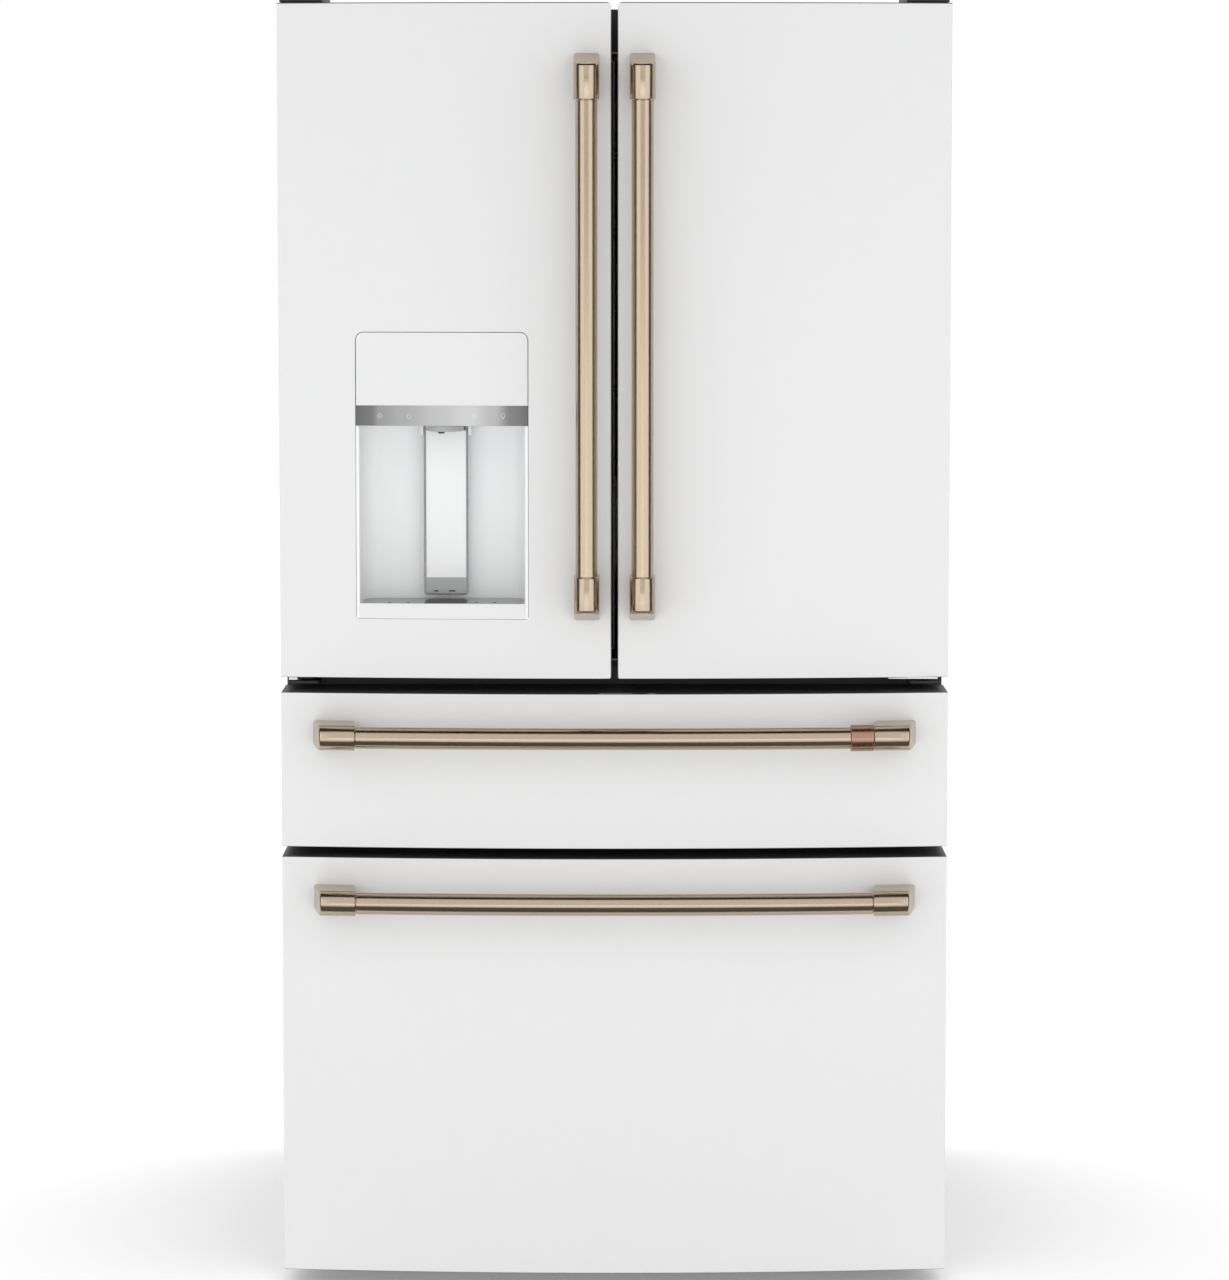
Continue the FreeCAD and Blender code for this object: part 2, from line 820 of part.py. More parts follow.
def build_ducts():
    wall = "room_back - liner"
    tower = box(
        "duct_tower",
        ("-tower_half", "tower_half"),
        (f"{wall} - tower_depth", wall),
        ("tower_foot", "tower_head"),
    )
    vents = [
        box(
            f"duct_vent_{index}",
            ("-vent_half", "vent_half"),
            (f"{wall} - tower_depth - 1", f"{wall} - tower_depth/2"),
            (f"vent_foot + {index}*vent_pitch", f"vent_foot + vent_height + {index}*vent_pitch"),
        )
        for index in range(4)
    ]
    cold = ("0", "cold_fan_z")
    cover_blank = box(
        "cold_cover_blank",
        ("-room_half + liner + 2", "room_half - liner - 2"),
        ("cold_cover_front", "cold_cover_front + cold_cover_sheet"),
        ("step_top + liner + 1", "freezer_ceiling - liner - 1"),
    )
    mouth = rod(
        "cold_cover_mouth",
        "y",
        "cold_fan_radius + 4",
        ("cold_cover_front - 6", "cold_cover_front + 6"),
        cold,
    )
    air_tower = cut("air_tower", tower, *vents)
    cover = cut("evaporator_cover", cover_blank, mouth)
    node("air_ducts", group("air_ducts", air_tower, cover))

    motor = rod("cold_motor", "y", "cold_motor_radius", ("cold_motor_front", wall), cold)
    fin_y = ("cold_cover_front + 14", "cold_cover_front + 52")
    coil = []
    for which, word in ((LEFT, "left"), (RIGHT, "right")):
        for index in range(11):
            start = f"cold_fin_start + {index}*cold_fin_pitch"
            x = side(which, f"{start} - 1", f"{start} + 1")
            coil.append(box(f"cold_fin_{word}_{index}", x, fin_y, ("step_top + 14", "freezer_ceiling - 20")))
        reach = side(which, "cold_fin_start - 8", "cold_fin_start + 10*cold_fin_pitch + 10")
        for line in range(5):
            place = ("cold_cover_front + 33", f"step_top + 40 + {line}*cold_tube_pitch")
            coil.append(rod(f"cold_tube_{word}_{line}", "x", "tube_radius", reach, place))
    node("evaporator", group("evaporator", fuse("evaporator_coil", *coil), motor))
    node(
        "evaporator_fan",
        blades(
            "evaporator_fan",
            "y",
            "hub_radius - 4",
            5,
            "cold_fan_radius",
            ("cold_motor_front - 26", "cold_motor_front - 1"),
            cold,
        ),
    )


def build_shelves():
    heights = {LEFT: (1270, 1460), RIGHT: (1320, 1500)}
    frames = []
    panes = []
    for which, word in ((LEFT, "left"), (RIGHT, "right")):
        x = side(which, "5", "room_half - liner - 3")
        pane_x = side(which, "5 + shelf_rim - 4", "room_half - liner - 3 - shelf_rim + 4")
        for index, z in enumerate(heights[which]):
            name = f"{word}_shelf_{index}"
            rim_outer = box(f"{name}_rim", x, ("shelf_front", "shelf_back"), (str(z), f"{z} + 12"))
            gap = box(
                f"{name}_gap",
                (f"({x[0]}) + shelf_rim", f"({x[1]}) - shelf_rim"),
                ("shelf_front + shelf_rim", "shelf_back - shelf_rim"),
                (f"{z} - 1", f"{z} + 13"),
            )
            seat = box(
                f"{name}_seat",
                pane_x,
                ("shelf_front + shelf_rim - 4", "shelf_back - shelf_rim + 4"),
                (f"{z} + 8", f"{z} + 13"),
            )
            frames.append(cut(f"{name}_frame", rim_outer, gap, seat))
            panes.append(
                box(
                    f"{name}_pane",
                    pane_x,
                    ("shelf_front + shelf_rim - 4", "shelf_back - shelf_rim + 4"),
                    (f"{z} + 8", f"{z} + 8 + shelf_glass"),
                )
            )
    frames.append(
        box(
            "lid_rim",
            ("-room_half + liner + 2", "room_half - liner - 2"),
            ("lid_front", "lid_front + shelf_rim"),
            ("lid_foot - 6", "lid_foot + 12"),
        )
    )
    panes.append(
        box(
            "lid_pane",
            ("-room_half + liner + 2", "room_half - liner - 2"),
            ("lid_front + shelf_rim", "room_back - liner - tower_depth - 2"),
            ("lid_foot + 6", "lid_foot + 6 + shelf_glass"),
        )
    )
    node("glass_shelves", group("glass_shelves", *frames, *panes))
    for which, word in ((LEFT, "left"), (RIGHT, "right")):
        node(
            f"crisper_{word}",
            tub(
                f"crisper_{word}",
                side(which, "4", "room_half - liner - 4"),
                ("crisper_front", "crisper_back"),
                ("crisper_foot", "crisper_top"),
                "crisper_wall",
            ),
        )


# ---------------------------------------------------------------- hinges


def build_hinges():
    plates = []
    covers = []
    lower = "door_foot - 13"
    bearing = f"{lower} + plate_thick + 1"
    for which, word in ((LEFT, "left"), (RIGHT, "right")):
        pin_place = (f"{which}*hinge_side", "hinge_line")
        x = side(which, "hinge_side - plate_inner", "hinge_side + plate_outer")
        front = "hinge_line - plate_outer"
        rear = "case_front + plate_reach"
        arm_z = ("door_top + 2", "door_top + 2 + plate_thick")
        arm = box(f"{word}_top_arm", x, (front, rear), arm_z)
        foot = box(f"{word}_top_foot", x, ("case_front + 2", rear), ("case_top", "door_top + 2"))
        pin = rod(f"{word}_top_pin", "z", "pin_radius", ("door_top - pin_depth", arm_z[1]), pin_place)
        plates.append(fuse(f"{word}_top_hinge", arm, foot, pin))
        plate = box(f"{word}_middle_plate", x, (front, "case_front"), (lower, bearing))
        flap = box(f"{word}_middle_flap", x, ("case_front - 4", "case_front"), (lower, "door_foot - 2"))
        lower_pin = rod(
            f"{word}_middle_pin",
            "z",
            "pin_radius",
            (lower, "door_foot + cap_plug + 2"),
            pin_place,
        )
        shoulder = rod(
            f"{word}_middle_shoulder",
            "z",
            "shoulder_radius",
            (bearing, "door_foot - 0.4"),
            pin_place,
        )
        plates.append(fuse(f"{word}_middle_hinge", plate, flap, lower_pin, shoulder))

        outer_x = side(which, "hinge_side - cover_inner", "case_width/2")
        cover_rear = "case_front + cover_reach"
        front_part = box(
            f"{word}_cover_front",
            outer_x,
            ("hinge_line - 24", cover_rear),
            ("door_top + 1.5", "overall_top"),
        )
        rear_part = box(
            f"{word}_cover_rear",
            outer_x,
            ("case_front + 1", cover_rear),
            ("case_top", "overall_top"),
        )
        hollow = box(
            f"{word}_cover_hollow",
            side(which, "hinge_side - cover_inner + cover_wall", "case_width/2 - cover_wall"),
            ("hinge_line - 24 + cover_wall", f"{cover_rear} - cover_wall"),
            ("case_top - 1", "overall_top - cover_wall"),
        )
        covers.append(cut(f"{word}_hinge_cover", fuse(f"{word}_cover_whole", front_part, rear_part), hollow))
    node("door_hinges", group("door_hinges", *plates))
    node("hinge_covers", group("hinge_covers", *covers))


def pin_hole(name, which, z):
    return rod(name, "z", "pin_radius + pin_play", z, (f"{which}*hinge_side", "hinge_line"))


# ---------------------------------------------------------------- handles


def slanted(name, axis, angle, base, size):
    """A cutting block turned about its own corner by a formula's angle."""
    item = doc.addObject("Part::Box", name)
    item.Placement = FreeCAD.Placement(VECTOR(), FreeCAD.Rotation(axis, 10))
    bind(
        item,
        Length=size[0],
        Width=size[1],
        Height=size[2],
        Placement__Base__x=base[0],
        Placement__Base__y=base[1],
        Placement__Base__z=base[2],
        Placement__Rotation__Angle=angle,
    )
    return item


def upright_handle(prefix, which):
    x = f"{which}*grip_side"
    place = (x, "grip_line")
    wide = (f"{x} - grip_cap_radius + post_margin", f"{x} + grip_cap_radius - post_margin")
    front = "(grip_line - grip_cap_radius)"
    lean = f"atan(grip_post_extra/(front_face - {front}))"
    size = ("60", "100", "slant_depth")
    corner = f"{x} - 30"
    bar = rod(f"{prefix}_bar", "z", "grip_radius", ("grip_foot + grip_cap", "grip_head - grip_cap"), place)
    mounts = []
    for end, z in (
        ("foot", ("grip_foot - grip_post_extra", "grip_foot + grip_cap")),
        ("head", ("grip_head - grip_cap", "grip_head + grip_post_extra")),
    ):
        sleeve = rod(f"{prefix}_{end}_sleeve", "z", "grip_cap_radius", z, place)
        post = box(f"{prefix}_{end}_post", wide, ("grip_line", "front_face + 3"), z)
        face = front_face_cutter(f"{prefix}_{end}_face", (f"{z[0]} - 1", f"{z[1]} + 1"))
        if end == "head":
            base = (corner, f"{front} - slant_lead*cos({lean})", f"grip_head - slant_lead*sin({lean})")
            wedge = slanted(f"{prefix}_head_slant", VECTOR(1, 0, 0), lean, base, size)
        else:
            base = (
                corner,
                f"{front} - slant_depth*sin({lean}) - slant_lead*cos({lean})",
                f"grip_foot - slant_depth*cos({lean}) + slant_lead*sin({lean})",
            )
            wedge = slanted(f"{prefix}_foot_slant", VECTOR(-1, 0, 0), lean, base, size)
        blank = fuse(f"{prefix}_{end}_mount_blank", sleeve, post)
        mounts.append(cut(f"{prefix}_{end}_mount", blank, face, wedge))
    node(f"{prefix}_handle", group(f"{prefix}_handle", bar, *mounts))


def bar_arc(name, z, start, end, radius):
    """A length of bar that follows the bow of the fronts, from x = start to x = end."""
    bar = doc.addObject("Part::Torus", name)
    line = "(front_face + bow_radius - grip_line)"
    bind(
        bar,
        Radius1=line,
        Radius2=radius,
        Angle3=f"asin(({end})/{line}) - asin(({start})/{line})",
        Placement__Base__y="front_face + bow_radius",
        Placement__Base__z=z,
        Placement__Rotation__Angle=f"asin(({start})/{line}) - 90 deg",
    )
    return bar


def level_handle(prefix, top):
    z = f"{top} - bar_drop"
    bar = bar_arc(f"{prefix}_bar", z, "-bar_end", "bar_end", "grip_radius")
    tall = (f"{z} - grip_cap_radius + post_margin", f"{z} + grip_cap_radius - post_margin")
    line = "(front_face + bow_radius - grip_line)"
    axis_y = f"(front_face + bow_radius - sqrt({line}^2 - bar_cap_end^2))"
    front = f"({axis_y} - grip_cap_radius)"
    lean = f"atan((bar_post_end - bar_cap_end)/(front_face + 18 - {front}))"
    size = ("slant_depth", "100", "60")
    mounts = []
    for which, word in ((LEFT, "left"), (RIGHT, "right")):
        start, end = side(which, "bar_end", "bar_post_end + 2")
        sleeve = bar_arc(f"{prefix}_{word}_sleeve", z, start, end, "grip_cap_radius")
        reach = side(which, "bar_end", "bar_post_end")
        post = box(f"{prefix}_{word}_post", reach, (axis_y, "front_face + 25"), tall)
        face = front_face_cutter(f"{prefix}_{word}_face", (f"{z} - 30", f"{z} + 30"))
        if which == RIGHT:
            base = (
                f"bar_cap_end - slant_lead*sin({lean})",
                f"{front} - slant_lead*cos({lean})",
                f"{z} - 30",
            )
            wedge = slanted(f"{prefix}_right_slant", VECTOR(0, 0, -1), lean, base, size)
        else:
            base = (
                f"-bar_cap_end - slant_depth*cos({lean}) + slant_lead*sin({lean})",
                f"{front} - slant_depth*sin({lean}) - slant_lead*cos({lean})",
                f"{z} - 30",
            )
            wedge = slanted(f"{prefix}_left_slant", VECTOR(0, 0, 1), lean, base, size)
        blank = fuse(f"{prefix}_{word}_mount_blank", sleeve, post)
        mounts.append(cut(f"{prefix}_{word}_mount", blank, face, wedge))
    return bar, mounts, z


# ---------------------------------------------------------------- upper doors

DOOR_CORE = ("door_foot + cap_lip + cap_plug", "door_top - cap_lip - cap_plug")


def door_span(which, inset=0):
    return side(which, f"door_gap/2 + {inset}", f"front_width/2 - {inset}")


def build_door(prefix, which):
    x = door_span(which)
    skin_z = ("door_foot + cap_lip", "door_top - cap_lip")
    skin = bowed_skin(f"{prefix}_skin_blank", x, skin_z)
    holes = (
        pin_hole(f"{prefix}_top_bore", which, ("door_top - cap_plug - cap_lip - 6", "door_top + 1")),
        pin_hole(f"{prefix}_foot_bore", which, ("door_foot - 1", "door_foot + cap_lip + cap_plug + 1")),
    )
    front_caps(prefix, x, "door_foot", "door_top", *holes)
    seal_x = side(which, "seal_inner", "seal_outer")
    seal(prefix, seal_x, ("door_foot + 2.5", "fresh_ceiling + 19"))
    return skin


def build_door_liner(prefix, which):
    behind = ("front_back - liner", "front_back")
    plate = box(f"{prefix}_liner_plate", door_span(which, "skin"), behind, DOOR_CORE)
    dykes = [
        box(
            f"{prefix}_{word}_dyke",
            side(which, low, high),
            ("front_back", "dyke_rear"),
            ("fresh_floor + 10", "fresh_ceiling - 6"),
        )
        for word, low, high in (
            ("outer", "dyke_outer - dyke_width", "dyke_outer"),
            ("inner", "dyke_inner", "dyke_inner + dyke_width"),
        )
    ]
    return plate, dykes


def build_door_bins(prefix, which, feet):
    bins = [
        tub(
            f"{prefix}_bin_{index}",
            side(which, "dyke_inner + dyke_width", "dyke_outer - dyke_width"),
            ("front_back", "door_bin_rear"),
            (str(foot), f"{foot} + door_bin_height"),
            "bin_wall",
        )
        for index, foot in enumerate(feet)
    ]
    node(f"{prefix}_bins", group(f"{prefix}_bins", *bins))


def build_right_door():
    skin = build_door("right_door", RIGHT)
    node("right_door_skin", skin)
    core = bowed_slab(
        "right_core_blank", door_span(RIGHT, "skin"), "front_back - liner", "skin", DOOR_CORE
    )
    bore = pin_hole("right_core_bore", RIGHT, ("door_top - cap_plug - cap_lip - 6", "door_top"))
    node("right_door_core", cut("right_door_core", core, bore))
    plate, dykes = build_door_liner("right_door", RIGHT)
    node("right_door_liner", fuse("right_door_liner", plate, *dykes))
    build_door_bins("right_door", RIGHT, (905, 1180, 1440))
    upright_handle("right_door", RIGHT)


def build_left_door():
    skin = build_door("left_door", LEFT)
    window = [
        box("window_low", ("niche_left", "niche_right"), ("front_face - 5", "front_face + 40"),
            ("niche_foot", "niche_head - niche_corner")),
        box("window_high", ("niche_left + niche_corner", "niche_right - niche_corner"),
            ("front_face - 5", "front_face + 40"), ("niche_foot", "niche_head")),
        rod("window_corner_left", "y", "niche_corner", ("front_face - 5", "front_face + 40"),
            ("niche_left + niche_corner", "niche_head - niche_corner")),
        rod("window_corner_right", "y", "niche_corner", ("front_face - 5", "front_face + 40"),
            ("niche_right - niche_corner", "niche_head - niche_corner")),
    ]
    node("left_door_skin", cut("left_door_skin", skin, *window))

    low, high = DOOR_CORE
    left, right = door_span(LEFT, "skin")
    back = "front_back - liner"
    upright = bowed_slab("core_hinge_side", (left, "niche_left"), back, "skin", DOOR_CORE)
    bore = pin_hole("left_core_bore", LEFT, ("door_top - cap_plug - cap_lip - 6", "door_top"))
    niche_x = ("niche_left", "niche_right")
    pieces = [
        cut("core_hinge_side_bored", upright, bore),
        bowed_slab("core_grip_side", ("niche_right", right), back, "skin", DOOR_CORE),
        bowed_slab("core_above", niche_x, back, "skin", ("niche_head", high)),
        bowed_slab("core_below", niche_x, back, "skin", (low, "niche_foot")),
        box("core_behind", niche_x, ("niche_back", back), ("niche_foot", "niche_head")),
    ]
    node("left_door_core", group("left_door_core", *pieces))
    plate, dykes = build_door_liner("left_door", LEFT)
    lugs = []
    for word, z in (
        ("foot", ("mullion_foot - 6", "mullion_foot - seal_gap")),
        ("head", ("mullion_head + seal_gap", "mullion_head + 6")),
    ):
        lugs.append(
            box(f"mullion_{word}_lug", ("-dyke_inner", "mullion_pivot + 8"), ("front_back", "mullion_rear"), z)
        )
    pins = [
        rod(f"mullion_{word}_pin", "z", "mullion_pin", z, ("mullion_pivot", "(mullion_front + mullion_rear)/2"))
        for word, z in (
            ("foot", ("mullion_foot - 6", "mullion_foot + 14")),
            ("head", ("mullion_head - 14", "mullion_head + 6")),
        )
    ]
    node("left_door_liner", fuse("left_door_liner", plate, *dykes, *lugs, *pins))
    build_door_bins("left_door", LEFT, (905, 1130))
    node(
        "ice_maker",
        box(
            "ice_maker",
            ("-dyke_outer + dyke_width", "-dyke_inner - dyke_width"),
            ("front_back", "ice_maker_rear"),
            ("ice_maker_foot", "ice_maker_head"),
        ),
    )
    upright_handle("left_door", LEFT)


def build_mullion():
    bar = box("mullion_blank", ("mullion_left", "mullion_right"), ("mullion_front", "mullion_rear"),
              ("mullion_foot", "mullion_head"))
    bores = [
        rod(f"mullion_bore_{word}", "z", "mullion_pin + pin_play", z,
            ("mullion_pivot", "(mullion_front + mullion_rear)/2"))
        for word, z in (
            ("foot", ("mullion_foot - 1", "mullion_foot + 15")),
            ("head", ("mullion_head - 15", "mullion_head + 1")),
        )
    ]
    node("mullion_bar", cut("mullion_bar", bar, *bores))


def build_dispenser():
    niche_x = ("niche_left + 0.4", "niche_right - 0.4")
    middle = "((niche_left + niche_right)/2 + 3)"
    blank = bowed_slab("housing_blank", niche_x, "niche_back", 0, ("niche_foot + 0.4", "niche_head - 0.4"))
    cavity = box(
        "housing_cavity",
        ("niche_left + niche_wall", "niche_right - niche_wall"),
        ("front_face - 10", "niche_back - 3"),
        ("niche_foot", "band_foot"),
    )
    band_seat = box(
        "housing_band_seat",
        ("niche_left", "niche_right"),
        ("front_face - 10", "band_back"),
        ("band_foot", "band_head"),
    )
    corner_tools = []
    for word, edge, centre in (
        ("left", ("niche_left - 1", "niche_left + niche_corner"), "niche_left + niche_corner"),
        ("right", ("niche_right - niche_corner", "niche_right + 1"), "niche_right - niche_corner"),
    ):
        block = box(
            f"housing_{word}_block", edge, ("front_face - 10", "niche_back + 1"),
            ("niche_head - niche_corner", "niche_head + 1"),
        )
        keep = rod(
            f"housing_{word}_round", "y", "niche_corner - 0.4", ("front_face - 20", "niche_back + 10"),
            (centre, "niche_head - niche_corner"),
        )
        corner_tools.append(cut(f"housing_{word}_trim", block, keep))
    housing = cut("housing_moulding", blank, cavity, band_seat, *corner_tools)
    lugs = []
    for word, low, high in (("left", "- paddle_half - 5", "- paddle_half - 0.5"),
                            ("right", "+ paddle_half + 0.5", "+ paddle_half + 5")):
        x = (f"{middle} {low}", f"{middle} {high}")
        lug = box(
            f"paddle_lug_{word}_blank",
            x,
            ("paddle_face - 2", "paddle_face + 8"),
            ("paddle_pivot - 8", "band_foot"),
        )
        hole = rod(f"paddle_lug_{word}_hole", "x", "paddle_pin + pin_play", (f"{x[0]} - 1", f"{x[1]} + 1"),
                   ("paddle_face + paddle_thick/2", "paddle_pivot"))
        lugs.append(cut(f"paddle_lug_{word}", lug, hole))
    line = "paddle_face - outlet_reach"
    funnel = rod("outlet_funnel", "z", "outlet_radius", ("band_foot - 8", "band_foot"), (middle, line))
    throat = rod("outlet_throat", "z", "throat_radius", ("band_foot - 9", "band_foot + 1"), (middle, line))
    beside = (f"{middle} - 5", line)
    nozzle = rod("water_nozzle", "z", "nozzle_radius", ("band_foot - 12", "band_foot"), beside)
    outlet = fuse("outlet", cut("outlet_ring", funnel, throat), nozzle)
    node("dispenser_housing", group("dispenser_housing", housing, *lugs, outlet))

    band_blank = bowed_slab(
        "band_blank", niche_x, "band_back", 0, ("band_foot + 0.3", "band_head - 0.3")
    )
    node("dispenser_band", band_blank)

    tray_blank = bowed_slab(
        "tray_blank",
        ("niche_left + niche_wall + 0.3", "niche_right - niche_wall - 0.3"),
        "tray_back",
        "1",
        ("niche_foot + 0.4", "tray_top"),
    )
    well = box(
        "tray_well",
        ("niche_left + 40", "niche_right - 40"),
        ("front_face + 22", "tray_back - 12"),
        ("tray_top - 8", "tray_top + 1"),
    )
    node("dispenser_tray", cut("dispenser_tray", tray_blank, well))

    plate = box(
        "paddle_plate",
        (f"{middle} - paddle_half", f"{middle} + paddle_half"),
        ("paddle_face", "paddle_face + paddle_thick"),
        ("paddle_foot", "paddle_pivot + 4"),
    )
    pin = rod(
        "paddle_pivot_pin",
        "x",
        "paddle_pin",
        (f"{middle} - paddle_half - 4.5", f"{middle} + paddle_half + 4.5"),
        ("paddle_face + paddle_thick/2", "paddle_pivot"),
    )
    node("dispenser_paddle", fuse("dispenser_paddle", plate, pin))


# ---------------------------------------------------------------- drawers


def slide_span(which, index):
    """The x span of slide member 0, fixed, 1, between, or 2, on the drawer."""
    inner = f"bin_half + {2 - index}*(slide_member + slide_play)"
    return side(which, inner, f"{inner} + slide_member")


def drawer_front(prefix, foot, top, seal_z):
    x = ("-front_width/2", "front_width/2")
    node(f"{prefix}_skin", bowed_skin(f"{prefix}_skin", x, (f"{foot} + cap_lip", f"{top} - cap_lip")))
    front_caps(prefix, x, foot, top)
    inside = ("-front_width/2 + skin", "front_width/2 - skin")
    middle = (f"{foot} + cap_lip + cap_plug", f"{top} - cap_lip - cap_plug")
    node(f"{prefix}_core", bowed_slab(f"{prefix}_core", inside, "front_back", "skin", middle))
    seal(prefix, ("-seal_outer", "seal_outer"), seal_z)


def drawer_slides(prefix, height, foot):
    moving = []
    between = []
    for which, word in ((LEFT, "left"), (RIGHT, "right")):
        between.append(
            box(f"{prefix}_{word}_between", slide_span(which, 1), ("slide_front", "slide_back"),
                (f"{height} - 17", f"{height} + 17"))
        )
        moving.append(
            box(f"{prefix}_{word}_moving", slide_span(which, 2), ("front_back", "slide_back - 4"),
                (f"{height} - 12", f"{height} + 12"))
        )
    node(f"{prefix}_slides", group(f"{prefix}_slides", *moving))
    node(f"{prefix}_slide_links", group(f"{prefix}_slide_links", *between))


def build_drawers():
    drawer_front("middle_drawer", "middle_foot", "middle_top", ("middle_foot + 2", "middle_top - 3.5"))
    bar, mounts, z = level_handle("middle_drawer", "middle_top")
    node("middle_drawer_handle", group("middle_drawer_handle", bar, *mounts))
    sleeve = bar_arc("collar_sleeve", z, "collar_start", "bar_end - 0.4", "collar_radius")
    core = bar_arc("collar_core", z, "collar_start - 1", "bar_end + 1", "grip_radius")
    node("middle_handle_collar", cut("middle_handle_collar", sleeve, core))
    drawer_slides("middle_drawer", "middle_slide", "middle_floor")
    node(
        "middle_drawer_bin",
        tub("middle_drawer_bin", ("-bin_half", "bin_half"), ("front_back", "bin_back"),
            ("middle_floor + 10", "middle_ceiling - 24"), "bin_wall"),
    )

    seal_z = ("freezer_floor - floor_slab + 4", "freezer_ceiling + 6")
    drawer_front("freezer_drawer", "freezer_foot", "freezer_top", seal_z)
    bar, mounts, z = level_handle("freezer_drawer", "freezer_top")
    node("freezer_drawer_handle", group("freezer_drawer_handle", bar, *mounts))
    drawer_slides("freezer_drawer", "freezer_slide", "freezer_floor")
    node(
        "freezer_drawer_bin",
        tub("freezer_drawer_bin", ("-bin_half", "bin_half"), ("front_back", "bin_back"),
            ("freezer_floor + 10", "basket_foot - 30"), "bin_wall"),
    )

    basket_body = tub(
        "basket_body",
        ("-bin_half + 3", "bin_half - 3"),
        ("bin_front", "bin_back"),
        ("basket_foot", "basket_top"),
        "bin_wall",
    )
    rims = [
        box(f"basket_{word}_rim", side(which, "bin_half - 3", "bin_half + 9"), ("bin_front", "bin_back"),
            ("basket_top - 4", "basket_top"))
        for which, word in ((LEFT, "left"), (RIGHT, "right"))
    ]
    node("freezer_basket", fuse("freezer_basket", basket_body, *rims))

    rails = []
    for which, word in ((LEFT, "left"), (RIGHT, "right")):
        for prefix in ("middle", "freezer"):
            rails.append(
                box(f"{prefix}_{word}_fixed_rail", slide_span(which, 0), ("slide_front", "slide_back"),
                    (f"{prefix}_slide - 22", f"{prefix}_slide + 22"))
            )
        rails.append(
            box(f"basket_{word}_rail", side(which, "bin_half + 1", "room_half - liner"),
                ("slide_front + 6", "slide_back + 10"), ("basket_top - 12", "basket_top - 4 - slide_play"))
        )
    node("slide_rails", group("slide_rails", *rails))


# ---------------------------------------------------------------- build, check, write

build_case()
build_liners()
build_back()
build_base()
build_machine_room()
build_ducts()
build_shelves()
build_hinges()
build_left_door()
build_mullion()
build_dispenser()
build_right_door()
build_drawers()
doc.recompute()

faults = [item.Label for item in doc.Objects if "Invalid" in item.State or "Error" in item.State]
faults += [
    label
    for label, item in NODES.items()
    if item.Shape.isNull() or not item.Shape.isValid() or item.Shape.Volume <= 0
]
if faults:
    raise RuntimeError(f"these objects failed: {faults}")

os.makedirs(OUTPUT_FOLDER, exist_ok=True)
for label, item in NODES.items():
    item.Shape.exportStep(os.path.join(OUTPUT_FOLDER, f"{label}.step"))
print(len(NODES), "nodes")
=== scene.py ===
"""The looks of a french door refrigerator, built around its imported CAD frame.

Meshes are written in millimetres and scaled to metres when they become pieces. The origin is on
the floor under the middle of the refrigerator, +Z is up and the doors face -Y.
"""

import json
import math
import random

import bmesh
import bpy
from mathutils import Euler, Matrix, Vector


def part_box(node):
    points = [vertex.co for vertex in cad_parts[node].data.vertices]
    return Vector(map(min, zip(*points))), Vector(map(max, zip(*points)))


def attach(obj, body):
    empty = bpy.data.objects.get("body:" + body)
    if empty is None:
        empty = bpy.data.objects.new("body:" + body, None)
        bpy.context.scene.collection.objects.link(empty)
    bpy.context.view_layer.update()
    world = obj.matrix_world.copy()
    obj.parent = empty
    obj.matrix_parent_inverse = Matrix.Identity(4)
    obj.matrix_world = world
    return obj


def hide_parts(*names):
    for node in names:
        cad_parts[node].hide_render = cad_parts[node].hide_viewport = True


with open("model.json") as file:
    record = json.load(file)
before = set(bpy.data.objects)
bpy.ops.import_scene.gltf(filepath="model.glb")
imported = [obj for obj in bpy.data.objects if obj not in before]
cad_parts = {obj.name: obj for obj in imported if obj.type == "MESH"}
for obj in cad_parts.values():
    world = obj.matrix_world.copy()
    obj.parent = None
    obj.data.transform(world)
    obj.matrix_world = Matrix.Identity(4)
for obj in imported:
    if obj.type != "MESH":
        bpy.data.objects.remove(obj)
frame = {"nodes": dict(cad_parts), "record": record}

MM = 0.001
SHARP = math.radians(32)
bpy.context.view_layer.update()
LEFT, RIGHT = -1, 1
random.seed(7)


def span(node):
    """x0, x1, y0, y1, z0, z1 of a CAD node at rest, in millimetres."""
    low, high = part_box(node)
    return [value / MM for pair in zip(low, high) for value in pair]


# ---------------------------------------------------------------- materials


